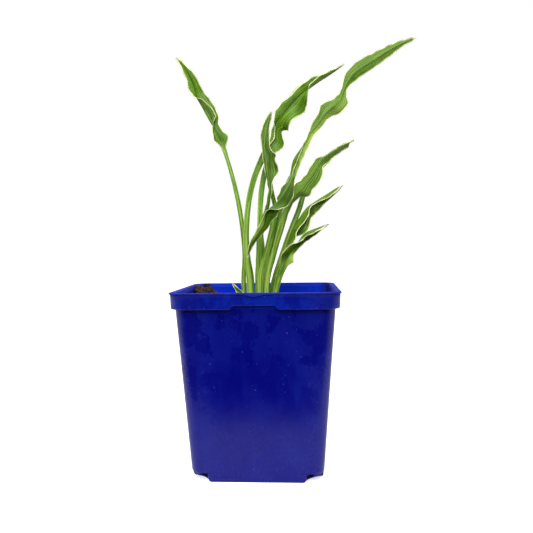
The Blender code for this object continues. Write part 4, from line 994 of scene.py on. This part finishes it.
class HOSTA_OT_stage(bpy.types.Operator):
    """Set up the floor, the light and the camera"""

    bl_idname = "hosta.stage"
    bl_label = "Stage"

    def execute(self, context):
        scene = context.scene
        look = scene.hosta_stage
        bm = bmesh.new()
        bmesh.ops.create_grid(bm, x_segments=8, y_segments=8, size=FLOOR_REACH)
        bmesh.ops.translate(bm, vec=(0, FLOOR_REACH - look.floor_front, 0), verts=bm.verts)
        floor = mesh_object("floor", bm)
        pale, tree = new_material("pale_floor", 0.8, 0.1)
        inputs = tree.nodes["Principled BSDF"].inputs
        inputs["Base Color"].default_value = (0.95, 0.95, 0.95, 1)
        inputs["Emission Color"].default_value = (1, 1, 1, 1)
        seen = put(tree, "LightPath").outputs["Is Camera Ray"]
        tree.links.new(times(seen, look.floor_glow), inputs["Emission Strength"])
        floor.data.materials.append(pale)

        world = bpy.data.worlds.new("white_surround")
        scene.world = world
        world.use_nodes = True
        tree = world.node_tree
        heading = split(put(tree, "TexCoord").outputs["Generated"])[1]
        surround = ramp(heading, *ROOM_FADE, look.room, look.sky)
        seen = put(tree, "LightPath").outputs["Is Camera Ray"]
        strength = put(tree, "Mix", {0: seen, 2: surround, 3: 1.0}, data_type="FLOAT")
        back = tree.nodes["Background"]
        back.inputs["Color"].default_value = (1, 1, 1, 1)
        tree.links.new(strength.outputs[0], back.inputs["Strength"])

        for name, power, place, size in (("overhead", look.overhead, (0.05, -0.75, 1.0), 1.0),
                                         ("key", look.key, (-1.1, -0.1, 0.5), 0.7)):
            light = bpy.data.lights.new(name, "AREA")
            light.energy = power
            light.size = size
            lamp = add_object(name, light)
            lamp.location = place
            lamp.rotation_euler = (LAMP_AIM - lamp.location).to_track_quat("-Z", "Y").to_euler()

        lens = bpy.data.cameras.new("camera")
        lens.lens = look.focal
        lens.sensor_width = SENSOR_WIDTH
        lens.clip_start = 0.01
        camera = add_object("camera", lens)
        turn = (Matrix.Rotation(look.azimuth + look.pan, 3, "Z")
                @ Matrix.Rotation(math.pi / 2 - look.pitch, 3, "X") @ Matrix.Rotation(look.roll, 3, "Z"))
        camera.rotation_euler = turn.to_euler()
        camera.location = (look.distance * math.sin(look.azimuth), -look.distance * math.cos(look.azimuth),
                           look.height)
        scene.camera = camera
        scene.view_settings.view_transform = "Standard"
        return {"FINISHED"}


class HOSTA_PT_panel(bpy.types.Panel):
    """Lists the pieces"""

    bl_label = "Potted Hosta"
    bl_idname = "HOSTA_PT_panel"
    bl_space_type = "VIEW_3D"
    bl_region_type = "UI"
    bl_category = "Hosta"

    def draw(self, context):
        for name, (_, operator) in SECTIONS.items():
            box = self.layout.box()
            box.operator(operator)
            group = getattr(context.scene, name)
            for key in group.bl_rna.properties.keys():
                if key not in ("rna_type", "name"):
                    box.prop(group, key)


SECTIONS = {"hosta_pot": (HostaPotSettings, "hosta.pot"), "hosta_soil": (HostaSoilSettings, "hosta.soil"),
            "hosta_leaf": (HostaLeafSettings, "hosta.leaves"),
            "hosta_stage": (HostaStageSettings, "hosta.stage")}
CLASSES = (*(settings for settings, _ in SECTIONS.values()), HOSTA_OT_pot, HOSTA_OT_soil, HOSTA_OT_leaves,
           HOSTA_OT_stage, HOSTA_PT_panel)


def register():
    """Register the classes and the scene's settings."""
    for item in CLASSES:
        bpy.utils.register_class(item)
    for name, (settings, _) in SECTIONS.items():
        setattr(bpy.types.Scene, name, PointerProperty(type=settings))


def unregister():
    """Undo register."""
    for name in SECTIONS:
        delattr(bpy.types.Scene, name)
    for item in reversed(CLASSES):
        bpy.utils.unregister_class(item)


def main():
    """Build everything."""
    register()
    bpy.ops.hosta.pot()
    bpy.ops.hosta.soil()
    bpy.ops.hosta.leaves()
    bpy.ops.hosta.stage()


if __name__ == "__main__":
    main()
